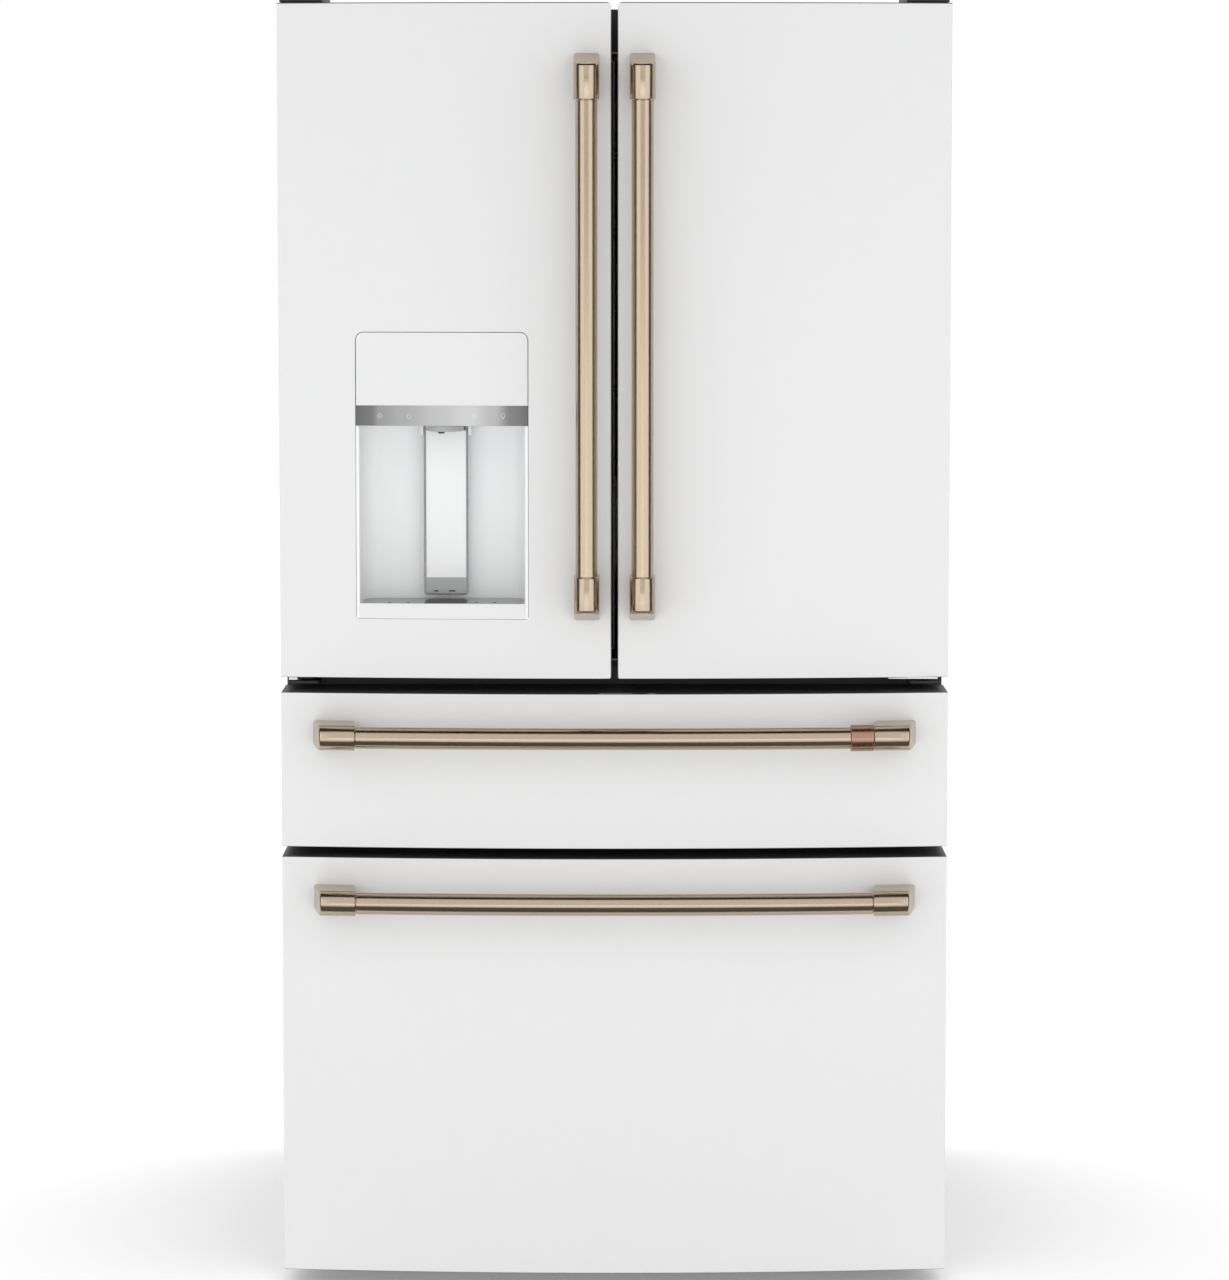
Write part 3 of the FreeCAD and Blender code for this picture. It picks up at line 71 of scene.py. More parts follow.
def finish(
    name,
    colour,
    roughness,
    metallic=0.0,
    grain=(60, 60, 60),
    tone=0.04,
    rough_change=0.05,
    bump=0.0,
    bump_grain=(900, 900, 900),
    **sockets,
):
    """A Principled material whose tone, roughness and relief come from two noises."""
    material = bpy.data.materials.new(name)
    material.use_nodes = True
    nodes, links = material.node_tree.nodes, material.node_tree.links
    shader = nodes["Principled BSDF"]
    shader.inputs["Metallic"].default_value = metallic
    for label, value in sockets.items():
        shader.inputs[label.replace("_", " ")].default_value = value

    place = nodes.new("ShaderNodeTexCoord")

    def noise(scale, detail):
        mapping = nodes.new("ShaderNodeMapping")
        mapping.inputs["Scale"].default_value = scale
        links.new(place.outputs["Object"], mapping.inputs["Vector"])
        texture = nodes.new("ShaderNodeTexNoise")
        texture.inputs["Scale"].default_value = 1.0
        texture.inputs["Detail"].default_value = detail
        links.new(mapping.outputs["Vector"], texture.inputs["Vector"])
        return texture.outputs["Fac"]

    broad = noise(grain, 4.0)
    blend = nodes.new("ShaderNodeMix")
    blend.data_type = "RGBA"
    blend.inputs["A"].default_value = (*[c * (1 - tone) for c in colour], 1)
    blend.inputs["B"].default_value = (*[min(1.0, c * (1 + tone)) for c in colour], 1)
    links.new(broad, blend.inputs["Factor"])
    links.new(blend.outputs["Result"], shader.inputs["Base Color"])

    spread = nodes.new("ShaderNodeMapRange")
    spread.inputs["To Min"].default_value = max(0.0, roughness - rough_change)
    spread.inputs["To Max"].default_value = min(1.0, roughness + rough_change)
    links.new(broad, spread.inputs["Value"])
    links.new(spread.outputs["Result"], shader.inputs["Roughness"])

    if bump:
        relief = nodes.new("ShaderNodeBump")
        relief.inputs["Strength"].default_value = bump
        relief.inputs["Distance"].default_value = 0.0004
        links.new(noise(bump_grain, 2.0), relief.inputs["Height"])
        links.new(relief.outputs["Normal"], shader.inputs["Normal"])
    return material


ENAMEL = finish("matte_white_enamel", (0.79, 0.792, 0.794), 0.42, tone=0.006, rough_change=0.04,
                bump=0.05, bump_grain=(700, 700, 700))
WHITE = finish("white_moulding", (0.80, 0.803, 0.806), 0.38, tone=0.01, bump=0.04, bump_grain=(1800, 1800,
        1800))
BRIGHT = finish("bright_moulding", (0.9, 0.905, 0.91), 0.4, tone=0.008, bump=0.03, bump_grain=(1800, 1800,
        1800))
LINER = finish("white_liner", (0.83, 0.845, 0.855), 0.3, tone=0.015, bump=0.03, Coat_Weight=0.2)
BRONZE = finish("brushed_bronze", (0.50, 0.405, 0.302), 0.2, 1.0, grain=(30, 30, 5200), tone=0.1,
                rough_change=0.06, bump=0.05, bump_grain=(60, 60, 7000), Anisotropic=0.35)
BRONZE_LEVEL = finish("brushed_bronze_level", (0.50, 0.405, 0.302), 0.2, 1.0, grain=(5200, 30, 30), tone=0.1,
                      rough_change=0.06, bump=0.05, bump_grain=(7000, 60, 60), Anisotropic=0.35)
COPPER = finish("brushed_copper", (0.42, 0.25, 0.18), 0.26, 1.0, grain=(4200, 40, 40), tone=0.14,
                rough_change=0.06, bump=0.06, bump_grain=(6000, 60, 60), Anisotropic=0.3)
CASE = finish("dark_case_paint", (0.028, 0.029, 0.031), 0.5, grain=(300, 300, 300), tone=0.15,
              bump=0.25, bump_grain=(1100, 1100, 1100))
CAP = finish("grey_end_cap", (0.1, 0.102, 0.106), 0.5, grain=(200, 200, 200), tone=0.12,
             bump=0.12, bump_grain=(1600, 1600, 1600))
RUBBER = finish("seal_rubber", (0.11, 0.112, 0.117), 0.7, grain=(150, 150, 150), tone=0.1, bump=0.1)
FOAM = finish("foam", (0.72, 0.62, 0.36), 0.9, grain=(500, 500, 500), tone=0.2, bump=0.5, bump_grain=(400,
        400, 400))
STEEL = finish("brushed_steel", (0.55, 0.56, 0.57), 0.3, 1.0, grain=(15, 15, 4200), tone=0.12,
               rough_change=0.06, bump=0.05, bump_grain=(40, 40, 5200), Anisotropic=0.4)
CHROME = finish("dark_chrome", (0.2, 0.205, 0.21), 0.16, 1.0, grain=(90, 90, 90), tone=0.06,
                rough_change=0.03)
ZINC = finish("zinc_plate", (0.52, 0.53, 0.55), 0.38, 1.0, grain=(120, 120, 120), tone=0.16,
              rough_change=0.1, bump=0.08, bump_grain=(500, 500, 500))
ALUMINIUM = finish("aluminium", (0.7, 0.71, 0.72), 0.35, 1.0, grain=(50, 900, 50), tone=0.08, bump=0.05)
COPPER_PIPE = finish("copper_pipe", (0.62, 0.3, 0.17), 0.3, 1.0, grain=(80, 80, 80), tone=0.2,
                     rough_change=0.1)
BLACK = finish("black_moulding", (0.016, 0.016, 0.017), 0.45, tone=0.2, bump=0.1, bump_grain=(1500, 1500,
        1500))
ENAMEL_BLACK = finish("black_shell_paint", (0.02, 0.02, 0.021), 0.3, tone=0.2, bump=0.06,
                      bump_grain=(500, 500, 500), Coat_Weight=0.3)
CLEAR = finish("clear_plastic", (0.93, 0.96, 0.97), 0.08, tone=0.01, rough_change=0.03,
               Transmission_Weight=0.92, IOR=1.3)
GLASS = finish("shelf_glass", (0.86, 0.95, 0.93), 0.03, tone=0.01, rough_change=0.02,
               Transmission_Weight=1.0, IOR=1.45)


def ramp_along_x(material, low, high, stops):
    """Give a material a colour that changes along x, between two places in millimetres."""
    nodes, links = material.node_tree.nodes, material.node_tree.links
    place = nodes.new("ShaderNodeTexCoord")
    split = nodes.new("ShaderNodeSeparateXYZ")
    links.new(place.outputs["Object"], split.inputs["Vector"])
    share = nodes.new("ShaderNodeMapRange")
    share.inputs["From Min"].default_value = low * MM
    share.inputs["From Max"].default_value = high * MM
    links.new(split.outputs["X"], share.inputs["Value"])
    ramp = nodes.new("ShaderNodeValToRGB")
    ramp.color_ramp.interpolation = "EASE"
    while len(ramp.color_ramp.elements) < len(stops):
        ramp.color_ramp.elements.new(0.5)
    for element, (where, tone) in zip(ramp.color_ramp.elements, stops):
        element.position = where
        element.color = (tone, tone * 1.005, tone * 1.01, 1)
    links.new(share.outputs["Result"], ramp.inputs["Fac"])
    links.new(ramp.outputs["Color"], nodes["Principled BSDF"].inputs["Base Color"])


# the control band's steel: its colour runs dark at both ends and lighter in the middle along x, a painted
# reflection of the studio
BAND_STEEL_PAINTED_REFLECTION = finish("steel_with_painted_reflection", (0.5, 0.5, 0.5), 0.42, 0.35, grain=(9, 9, 4200), bump=0.04, bump_grain=(40,
        40, 5200))
ramp_along_x(BAND_STEEL_PAINTED_REFLECTION, -350, -116, ((0.0, 0.13), (0.09, 0.165), (0.14, 0.3), (0.27, 0.38), (0.5, 0.51), (0.66,
        0.6),
                                (0.8, 0.46), (0.9, 0.2), (1.0, 0.15)))
GREY = finish("grey_moulding", (0.42, 0.425, 0.43), 0.4, tone=0.05, bump=0.08, bump_grain=(1500, 1500, 1500))
MARK = finish("printed_mark", (0.8, 0.81, 0.82), 0.5, tone=0.02)
NYLON = finish("black_nylon", (0.035, 0.035, 0.037), 0.5, tone=0.2, bump=0.1)

# the material each of the record's slots stands for, and the record's slot listed for each material
STANDARD = {
    "case_steel": CASE, "foam": FOAM, "white_liner": LINER, "white_enamel": ENAMEL, "white_plastic": WHITE,
    "grey_plastic": CAP, "seal_grey": RUBBER, "bronze": BRONZE, "copper": COPPER, "steel": STEEL,
    "zinc_steel": ZINC, "black_steel": ENAMEL_BLACK, "clear_plastic": CLEAR, "glass": GLASS,
    "aluminium": ALUMINIUM, "black_plastic": BLACK, "roller_nylon": NYLON,
}
SLOT_OF = {material.name: slot for slot, material in STANDARD.items()}
SLOT_OF.update({
    BRIGHT.name: "white_plastic",
    BRONZE_LEVEL.name: "bronze",
    BAND_STEEL_PAINTED_REFLECTION.name: "steel",
    GREY.name: "grey_plastic",
    MARK.name: "white_plastic",
    CHROME.name: "steel",
    COPPER_PIPE.name: "copper",
})


# ---------------------------------------------------------------- mesh helpers

AXES = {
    "x": lambda a, b, h: (h, a, b),
    "y": lambda a, b, h: (a, h, b),
    "z": lambda a, b, h: (a, b, h),
}


def skin(bm, rings, closed=False):
    """Quads between rings of equally many points, with both ends capped or the last ring joined to the first."""
    rows = [[bm.verts.new(p) for p in ring] for ring in rings]
    if closed:
        rows.append(rows[0])
    for low, high in zip(rows, rows[1:]):
        for i in range(len(low)):
            j = (i + 1) % len(low)
            bm.faces.new((low[i], low[j], high[j], high[i]))
    if not closed:
        bm.faces.new(list(reversed(rows[0])))
        bm.faces.new(rows[-1])


def rounded(x0, x1, y0, y1, radii, steps=5):
    """A rounded rectangle, anticlockwise from its low corner; radii is one size or four."""
    radii = [radii] * 4 if isinstance(radii, (int, float)) else radii
    corners = ((x0, y0, 1, 1, 180), (x1, y0, -1, 1, 270), (x1, y1, -1, -1, 0), (x0, y1, 1, -1, 90))
    points = []
    for (x, y, sx, sy, start), r in zip(corners, radii):
        for i in range(steps + 1):
            angle = math.radians(start + 90 * i / steps)
            points.append((x + sx * r + r * math.cos(angle), y + sy * r + r * math.sin(angle)))
    return points


def prism(bm, outline, low, high, axis="z"):
    turn = AXES[axis]
    skin(bm, [[turn(a, b, h) for a, b in outline] for h in (low, high)])


def block(bm, x, y, z, corner=0.0, axis="z"):
    """A block whose edges along an axis are rounded."""
    spans = {"x": (y, z, x), "y": (x, z, y), "z": (x, y, z)}[axis]
    a, b, h = spans
    outline = rounded(*a, *b, corner) if corner else [(a[0], b[0]), (a[1], b[0]), (a[1], b[1]), (a[0], b[1])]
    prism(bm, outline, *h, axis=axis)


def lathe(bm, profile, place=(0, 0), axis="z", count=40, closed=False):
    """Profile points are (height, radius) about an axis through place."""
    turn = AXES[axis]
    rings = []
    for height, radius in profile:
        ring = []
        for i in range(count):
            angle = 2 * math.pi * i / count
            ring.append(turn(place[0] + radius * math.cos(angle), place[1] + radius * math.sin(angle),
                             height))
        rings.append(ring)
    skin(bm, rings, closed=closed)


def sweep(bm, points, radius, count=10, closed=False):
    """A round tube along a line of points."""
    line = [Vector(p) for p in points]
    total = len(line)
    rings = []
    normal = None
    for i, point in enumerate(line):
        before = line[i - 1] if i or closed else point
        after = line[(i + 1) % total] if i + 1 < total or closed else point
        along = (after - before).normalized()
        if normal is None:
            normal = along.orthogonal().normalized()
        normal = (normal - along * normal.dot(along)).normalized()
        other = along.cross(normal)
        rings.append(
            [
                point + radius * (math.cos(2 * math.pi * k / count) * normal + math.sin(2 * math.pi * k / count) * other)
                for k in range(count)
            ]
        )
    skin(bm, rings, closed=closed)


def border(bm, x, z, profile, corner, axis="y"):
    """A frame around a rounded rectangle; profile points are (inward, height along the axis)."""
    turn = AXES[axis]
    rings = []
    for inward, height in profile:
        outline = rounded(x[0] + inward, x[1] - inward, z[0] + inward, z[1] - inward, max(corner - inward,
                0.3))
        rings.append([turn(a, b, height) for a, b in outline])
    skin(bm, rings, closed=True)


def open_bin(bm, x, y, z, wall, corner, lip=2.0, taper=3.0):
    """A moulded bin: rounded foot, tapered walls, a rolled rim and an open top."""
    stations = (
        (taper + 3, z[0]),
        (taper + 0.8, z[0] + 1.2),
        (taper, z[0] + 4),
        (lip + 0.4, z[1] - 7),
        (0.6, z[1] - 6),
        (0, z[1] - 5),
        (0, z[1] - 0.8),
        (0.8, z[1]),
        (lip + wall - 0.8, z[1]),
        (lip + wall, z[1] - 0.8),
        (taper + wall, z[0] + wall + 4),
        (taper + wall + 3, z[0] + wall),
    )
    rings = []
    for inward, level in stations:
        outline = rounded(
            x[0] + inward, x[1] - inward, y[0] + inward, y[1] - inward, max(corner - inward * 0.5, 1.0),
                          steps=6
        )
        rings.append([(a, b, level) for a, b in outline])
    skin(bm, rings)


def piece(name, body, bm, material, *replaced, slot=None, bevel=0.0, segments=3):
    """Turn a mesh in millimetres into a piece in metres that rides on a CAD body."""
    bmesh.ops.recalc_face_normals(bm, faces=bm.faces)
    bmesh.ops.scale(bm, vec=(MM, MM, MM), verts=bm.verts)
    mesh = bpy.data.meshes.new(name)
    bm.to_mesh(mesh)
    bm.free()
    mesh.materials.append(material)
    mesh.shade_smooth()
    mesh.set_sharp_from_angle(angle=SHARP)
    item = bpy.data.objects.new(name, mesh)
    bpy.context.scene.collection.objects.link(item)
    if bevel:
        soften(item, bevel, segments)
    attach(item, body)
    slot or SLOT_OF[material.name]
    if replaced:
        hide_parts(*replaced)
    return item


def soften(item, width, segments=3):
    rounding = item.modifiers.new("rounding", "BEVEL")
    rounding.width = width * MM
    rounding.segments = segments
    rounding.limit_method = "ANGLE"
    rounding.angle_limit = SHARP
    rounding.harden_normals = True


def carve(item, operation, tool):
    """Apply one boolean with a tool mesh in millimetres."""
    bmesh.ops.recalc_face_normals(tool, faces=tool.faces)
    bmesh.ops.scale(tool, vec=(MM, MM, MM), verts=tool.verts)
    mesh = bpy.data.meshes.new("tool")
    tool.to_mesh(mesh)
    tool.free()
    cutter = bpy.data.objects.new("tool", mesh)
    bpy.context.scene.collection.objects.link(cutter)
    step = item.modifiers.new("carve", "BOOLEAN")
    step.operation = operation
    step.object = cutter
    step.solver = "EXACT"
    while item.modifiers[0] != step:
        item.modifiers.move(item.modifiers.find(step.name), 0)
    later = [m for m in item.modifiers if m != step]
    for modifier in later:
        modifier.show_viewport = False
    graph = bpy.context.evaluated_depsgraph_get()
    graph.update()
    result = bpy.data.meshes.new_from_object(item.evaluated_get(graph))
    item.modifiers.remove(step)
    for modifier in later:
        modifier.show_viewport = True
    item.data = result
    result.shade_smooth()
    result.set_sharp_from_angle(angle=SHARP)
    bpy.data.objects.remove(cutter)


# ---------------------------------------------------------------- bowed fronts

BOW = 4492.0
FACE = span("middle_drawer_skin")[2]
SHEET = 1.2


def bow(x, inset=0.0):
    """y of the common bowed face at x."""
    radius = BOW - inset
    return FACE + BOW - math.sqrt(radius * radius - x * x)


def bowed_outline(x0, x1, back, inset=0.0, corner=3.0, steps=56):
    """A bowed front's outline from above, from its left rear corner round to its right rear one."""
    points = [(x0, back)]
    for i in range(7):
        angle = math.radians(90 * i / 6)
        x = x0 + corner - corner * math.cos(angle)
        points.append((x, bow(x0 + corner, inset) + corner - corner * math.sin(angle)))
    for i in range(1, steps):
        x = x0 + corner + (x1 - x0 - 2 * corner) * i / steps
        points.append((x, bow(x, inset)))
    for i in range(7):
        angle = math.radians(90 * i / 6)
        x = x1 - corner + corner * math.sin(angle)
        points.append((x, bow(x1 - corner, inset) + corner - corner * math.cos(angle)))
    points.append((x1, back))
    return points


def bowed_sheet(x0, x1, back, thickness=SHEET, corner=3.0):
    outer = bowed_outline(x0, x1, back, 0.0, corner)
    inner = bowed_outline(x0 + thickness, x1 - thickness, back, thickness, corner - thickness)
    return outer + list(reversed(inner))


# corner radii seen from the front: low left, low right, high right, high left
FRONTS = {
    "left_door": (1.5, 3.5, 6.0, 1.5),
    "right_door": (3.5, 1.5, 1.5, 6.0),
    "middle_drawer": (1.5, 1.5, 1.5, 1.5),
    "freezer_drawer": (1.5, 1.5, 1.5, 1.5),
}
HINGE_X, HINGE_Y = 434.0, -335.0
CAP_EDGE, TOP_EDGE = 0.5, 1.2


def face_prism(prefix):
    """What a front keeps when its corners are rounded, seen from the front."""
    x0, x1, _, _, z0, z1 = span(f"{prefix}_end_caps")
    bm = bmesh.new()
    prism(bm, rounded(x0 - 0.05, x1 + 0.05, z0 - 0.05, z1 + 0.05, FRONTS[prefix]), -430, -260, "y")
    return bm


def build_front(prefix):
    x0, x1, _, rear, _, _ = span(f"{prefix}_skin")
    _, _, _, _, foot, top = span(f"{prefix}_end_caps")
    z0, z1 = foot + CAP_EDGE, top - (TOP_EDGE if prefix.endswith("door") else CAP_EDGE)
    bm = bmesh.new()
    prism(bm, bowed_sheet(x0, x1, rear), z0, z1)
    sheet = piece(f"{prefix}_sheet", prefix, bm, ENAMEL, f"{prefix}_skin", bevel=0.45, segments=2)
    carve(sheet, "INTERSECT", face_prism(prefix))

    bm = bmesh.new()
    lip = bowed_outline(x0, x1, rear + 2.0, 0.0, 3.0)
    plug = bowed_outline(x0 + SHEET, x1 - SHEET, rear, SHEET, 1.8)
    for low, high in ((foot, z0), (z1, top)):
        prism(bm, lip, low, high)
    caps = piece(f"{prefix}_caps", prefix, bm, CAP, f"{prefix}_end_caps", bevel=0.2, segments=2)
    carve(caps, "INTERSECT", face_prism(prefix))

    bm = bmesh.new()
    for low, high in ((z0, z0 + 12), (z1 - 12, z1)):
        prism(bm, plug, low, high)
    piece(f"{prefix}_cap_plugs", prefix, bm, CAP, f"{prefix}_end_caps", bevel=0.4, segments=2)
    if prefix.endswith("door"):
        side = LEFT if prefix.startswith("left") else RIGHT
        bm = bmesh.new()
        for low, high in ((foot - 0.3, foot + 8), (top - 8, top + 0.4)):
            ring = ((low, 5.4), (low, 8.6), (low + 0.3, 9.0), (high - 0.3, 9.0), (high, 8.6), (high, 5.4))
            lathe(bm, ring, (side * HINGE_X, HINGE_Y), closed=True)
        piece(f"{prefix}_hinge_bushes", prefix, bm, WHITE)
    return sheet


def build_seal(prefix):
    x0, x1, y0, y1, z0, z1 = span(f"{prefix}_seal")
    middle = (y0 + y1) / 2
    profile = [(0.4, y0), (0, y0 + 1), (0, middle - 1.8), (1.5, middle - 0.6), (0, middle + 0.6), (0,
            y1 - 0.8),
               (0.8, y1), (6.5, y1), (7.2, y1 - 0.6), (8.8, y1 - 0.6), (9.5, y1), (15.2, y1), (16, y1 - 0.8),
               (16, middle + 0.6), (14.5, middle - 0.6), (16, middle - 1.8), (16, y0 + 1), (15.6, y0)]
    bm = bmesh.new()
    border(bm, (x0, x1), (z0, z1), profile, 9.0)
    piece(f"{prefix}_gasket", prefix, bm, RUBBER, f"{prefix}_seal")


for front in FRONTS:
    build_seal(front)
SHEETS = {front: build_front(front) for front in FRONTS}


# ---------------------------------------------------------------- handles

GRIP_LINE = -449.3
BAR_R, CAP_R, COLLAR_R = 14.7, 17.2, 17.8
GRIP_SIDE = 37.5
BAR_ARC = FACE + BOW - GRIP_LINE


def upright(side):
    """Handle coordinates to the frame: along the bar, across it, and back from its middle line."""
    return lambda along, across, back: (side * GRIP_SIDE + across, GRIP_LINE + back, along)


def level(height):
    def turn(along, across, back):
        return (along, FACE + BOW - math.sqrt(BAR_ARC**2 - along**2) + back, height + across)
    return turn


def bar_of(bm, turn, profile, count=48, closed=False):
    rings = []
    for along, radius in profile:
        rings.append(
            [
                turn(along, radius * math.sin(2 * math.pi * i / count),
                     -radius * math.cos(2 * math.pi * i / count))
                for i in range(count)
            ]
        )
    skin(bm, rings, closed=closed)


def mount_section(radius, depth, steps=24):
    points = [(-radius, depth)]
    for i in range(steps + 1):
        angle = math.radians(-90 + 180 * i / steps)
        points.append((radius * math.sin(angle), -radius * math.cos(angle)))
    points.append((radius, depth))
    return points


def mount_of(bm, turn, start, end, lean, depth, inner_lean=0.0):
    """The bracket at a bar's end: round in front, flat beside, its end leaning outwards to the door."""
    way = 1 if end > start else -1
    rings = []
    for along, inset in ((0, 0.7), (0.2, 0.2), (0.7, 0)):
        ring = []
        for v, w in mount_section(CAP_R - inset, depth):
            share = max(0.0, w) / depth
            ring.append(turn(start + way * (along + inner_lean * share), v, w))
        rings.append(ring)
    round_edge = 3.4
    for i in range(7):
        angle = math.radians(90 * i / 6)
        inset = round_edge * (1 - math.cos(angle))
        short = round_edge * (1 - math.sin(angle))
        ring = []
        for v, w in mount_section(CAP_R - inset, depth):
            share = (w + CAP_R) / (depth + CAP_R)
            ring.append(turn(end + way * (lean * share - short), v, w))
        rings.append(ring)
    skin(bm, rings)


def bar_profile(low, high, stations=30):
    """A straight bar with a fine turned groove before each bracket."""
    ends = [(low, 12.2), (low + 0.9, 12.2), (low + 1.1, BAR_R - 0.5), (low + 1.8, BAR_R)]
    middle = [(low + 1.8 + (high - low - 3.6) * i / stations, BAR_R) for i in range(1, stations)]
    return ends + middle + [(low + high - a, r) for a, r in reversed(ends)]


def build_upright_handle(prefix, side):
    _, _, _, _, z0, z1 = span(f"{prefix}_handle")
    foot, head = z0 + 17, z1 - 17
    turn = upright(side)
    depth = bow(GRIP_SIDE) + 1.0 - GRIP_LINE
    bm = bmesh.new()
    bar_of(bm, turn, bar_profile(foot + 46, head - 46))
    mount_of(bm, turn, foot + 46, foot, 16.5, depth)
    mount_of(bm, turn, head - 46, head, 16.5, depth)
    piece(f"{prefix}_grip", prefix, bm, BRONZE, f"{prefix}_handle")


def build_level_handle(prefix):
    _, x1, _, _, z0, z1 = span(f"{prefix}_handle")
    turn = level((z0 + z1) / 2)
    end = x1 - 12
    depth = bow(end) + 1.5 - (FACE + BOW - math.sqrt(BAR_ARC**2 - end**2))
    bm = bmesh.new()
    bar_of(bm, turn, bar_profile(-350, 350, 80))
    mount_of(bm, turn, 350, end, 12, depth, 5)
    mount_of(bm, turn, -350, -end, 12, depth, 5)
    piece(f"{prefix}_grip", prefix, bm, BRONZE_LEVEL, f"{prefix}_handle")
    return turn


build_upright_handle("left_door", LEFT)
build_upright_handle("right_door", RIGHT)
middle_turn = build_level_handle("middle_drawer")
build_level_handle("freezer_drawer")

bm = bmesh.new()
collar_start, collar_end = 318.0, 349.4
outer = [(collar_start, BAR_R + 0.1), (collar_start, COLLAR_R - 0.8), (collar_start + 0.8, COLLAR_R)]
outer += [(collar_start + 0.8 + (collar_end - collar_start - 1.6) * i / 8, COLLAR_R) for i in range(1, 8)]
outer += [(collar_end - 0.8, COLLAR_R), (collar_end, COLLAR_R - 0.8), (collar_end, BAR_R + 0.1)]
bar_of(bm, middle_turn, outer, closed=True)
piece("middle_drawer_collar", "middle_drawer", bm, COPPER, "middle_handle_collar")


# ---------------------------------------------------------------- dispenser

NICHE_L, NICHE_R, _, NICHE_BACK, NICHE_FOOT, NICHE_HEAD = span("dispenser_housing")
BAND_FOOT, BAND_HEAD = span("dispenser_band")[4:]
LEVER_X = (NICHE_L + NICHE_R) / 2 + 3

window = bmesh.new()
prism(window, rounded(-350, -116, 925, 1314, (4.0, 4.0, 11.0, 11.0)), -430, -350, "y")
carve(SHEETS["left_door"], "DIFFERENCE", window)

bm = bmesh.new()
prism(bm, bowed_outline(NICHE_L + 0.5, NICHE_R - 0.5, -384, 0.15, 0.8, 24), BAND_HEAD - 0.3, NICHE_HEAD - 0.5)
fascia = piece("dispenser_fascia", "left_door", bm, WHITE, bevel=0.4, segments=2)
keep = bmesh.new()
prism(keep, rounded(NICHE_L + 0.5, NICHE_R - 0.5, BAND_HEAD - 1, NICHE_HEAD - 0.5, (0.4, 0.4, 10, 10)),
      -430, -350, "y")
carve(fascia, "INTERSECT", keep)

WALL = 4.6
REAR_ROUND = 26.0
bm = bmesh.new()
inner = []
for sign, edge in ((1, NICHE_L + WALL), (-1, NICHE_R - WALL)):
    arc = []
    for i in range(11):
        angle = math.radians(90 * i / 10)
        arc.append((edge + sign * REAR_ROUND * (1 - math.cos(angle)),
                    NICHE_BACK - 3 - REAR_ROUND * (1 - math.sin(angle))))
    inner.append([(edge, bow(edge) + 0.6)] + arc)
outline = [(NICHE_L, bow(NICHE_L) + 0.15), (NICHE_L, NICHE_BACK), (NICHE_R, NICHE_BACK), (NICHE_R,
        bow(NICHE_R) + 0.15)]
outline += inner[1] + list(reversed(inner[0]))
prism(bm, outline, NICHE_FOOT, BAND_FOOT)
block(bm, (NICHE_L, NICHE_R), (-384.6, NICHE_BACK), (BAND_FOOT, BAND_FOOT + 6))
piece("dispenser_niche", "left_door", bm, BRIGHT, "dispenser_housing", bevel=0.7, segments=3)

bm = bmesh.new()
outlet = (LEVER_X, -365.0)
lathe(bm, ((1187, 19), (1187, 25.5), (1180.5, 25.5), (1179, 24.6), (1178.6, 23.2), (1179.4, 21), (1181,
        19)), outlet,
      closed=True, count=56)
lathe(bm, ((1187, 17.5), (1183.5, 17.5), (1182.9, 16.5), (1182.9, 2)), outlet, count=40)
piece("outlet_ring", "left_door", bm, GREY, slot="white_plastic")
bm = bmesh.new()
nozzle = (LEVER_X - 5, -365.0)
lathe(bm, ((1186, 5.6), (1178, 5.6), (1175.6, 4.6), (1175, 3.6), (1175, 2.6), (1179, 2.2)), nozzle, count=28)
piece("water_nozzle", "left_door", bm, CHROME)

bm = bmesh.new()
for sign in (LEFT, RIGHT):
    x0, x1 = sorted((LEVER_X + sign * 30.6, LEVER_X + sign * 34.8))
    block(bm, (x0, x1), (-336, -326.5), (1171, BAND_FOOT), 2.2, "x")
piece("lever_lugs", "left_door", bm, WHITE, bevel=0.5)

bm = bmesh.new()
prism(bm, bowed_outline(NICHE_L + 0.1, NICHE_R - 0.1, -384.8, -0.1, 1.0, 32), BAND_FOOT, BAND_HEAD)
piece("control_band", "left_door", bm, BAND_STEEL_PAINTED_REFLECTION, "dispenser_band", bevel=0.35, segments=2)


def flat_line(bm, points, radius, centre, height):
    """A thin raised line on the control band."""
    line = []
    for a, b in points:
        x = centre + a
        line.append((x, bow(x) - 0.05, height + b))
    sweep(bm, line, radius, 6, closed=True)


def circle(radius, count=20, x=0.0, z=0.0):
    return [
        (x + radius * math.cos(2 * math.pi * i / count), z + radius * math.sin(2 * math.pi * i / count))
        for i in range(count)
    ]


def mark_x(column):
    """Frame x of an icon, from its share of the band's width."""
    return NICHE_L + (NICHE_R - NICHE_L) * column


bm = bmesh.new()
mark_z = (BAND_FOOT + BAND_HEAD) / 2 - 0.5
flat_line(bm, circle(3.2), 0.28, mark_x(0.14), mark_z)
flat_line(bm, circle(1.3), 0.24, mark_x(0.14), mark_z)
drop = [(0, 4.0), (1.5, 1.4), (2.5, -0.4), (2.3, -2.2), (1.0, -3.3), (-1.0, -3.3), (-2.3, -2.2), (-2.5,
        -0.4), (-1.5, 1.4)]
flat_line(bm, drop, 0.28, mark_x(0.31), mark_z)
flat_line(bm, rounded(-2.8, 2.8, -2.8, 2.8, 0.9, 3), 0.26, mark_x(0.69), mark_z)
flat_line(bm, rounded(-1.1, 1.1, -1.1, 1.1, 0.4, 2), 0.22, mark_x(0.69), mark_z)
bulb = circle(2.6, 16, 0, 0.9)
flat_line(bm, bulb, 0.26, mark_x(0.855), mark_z)
flat_line(bm, rounded(-1.1, 1.1, -3.9, -2.6, 0.3, 2), 0.22, mark_x(0.855), mark_z)
piece("band_marks", "left_door", bm, MARK)

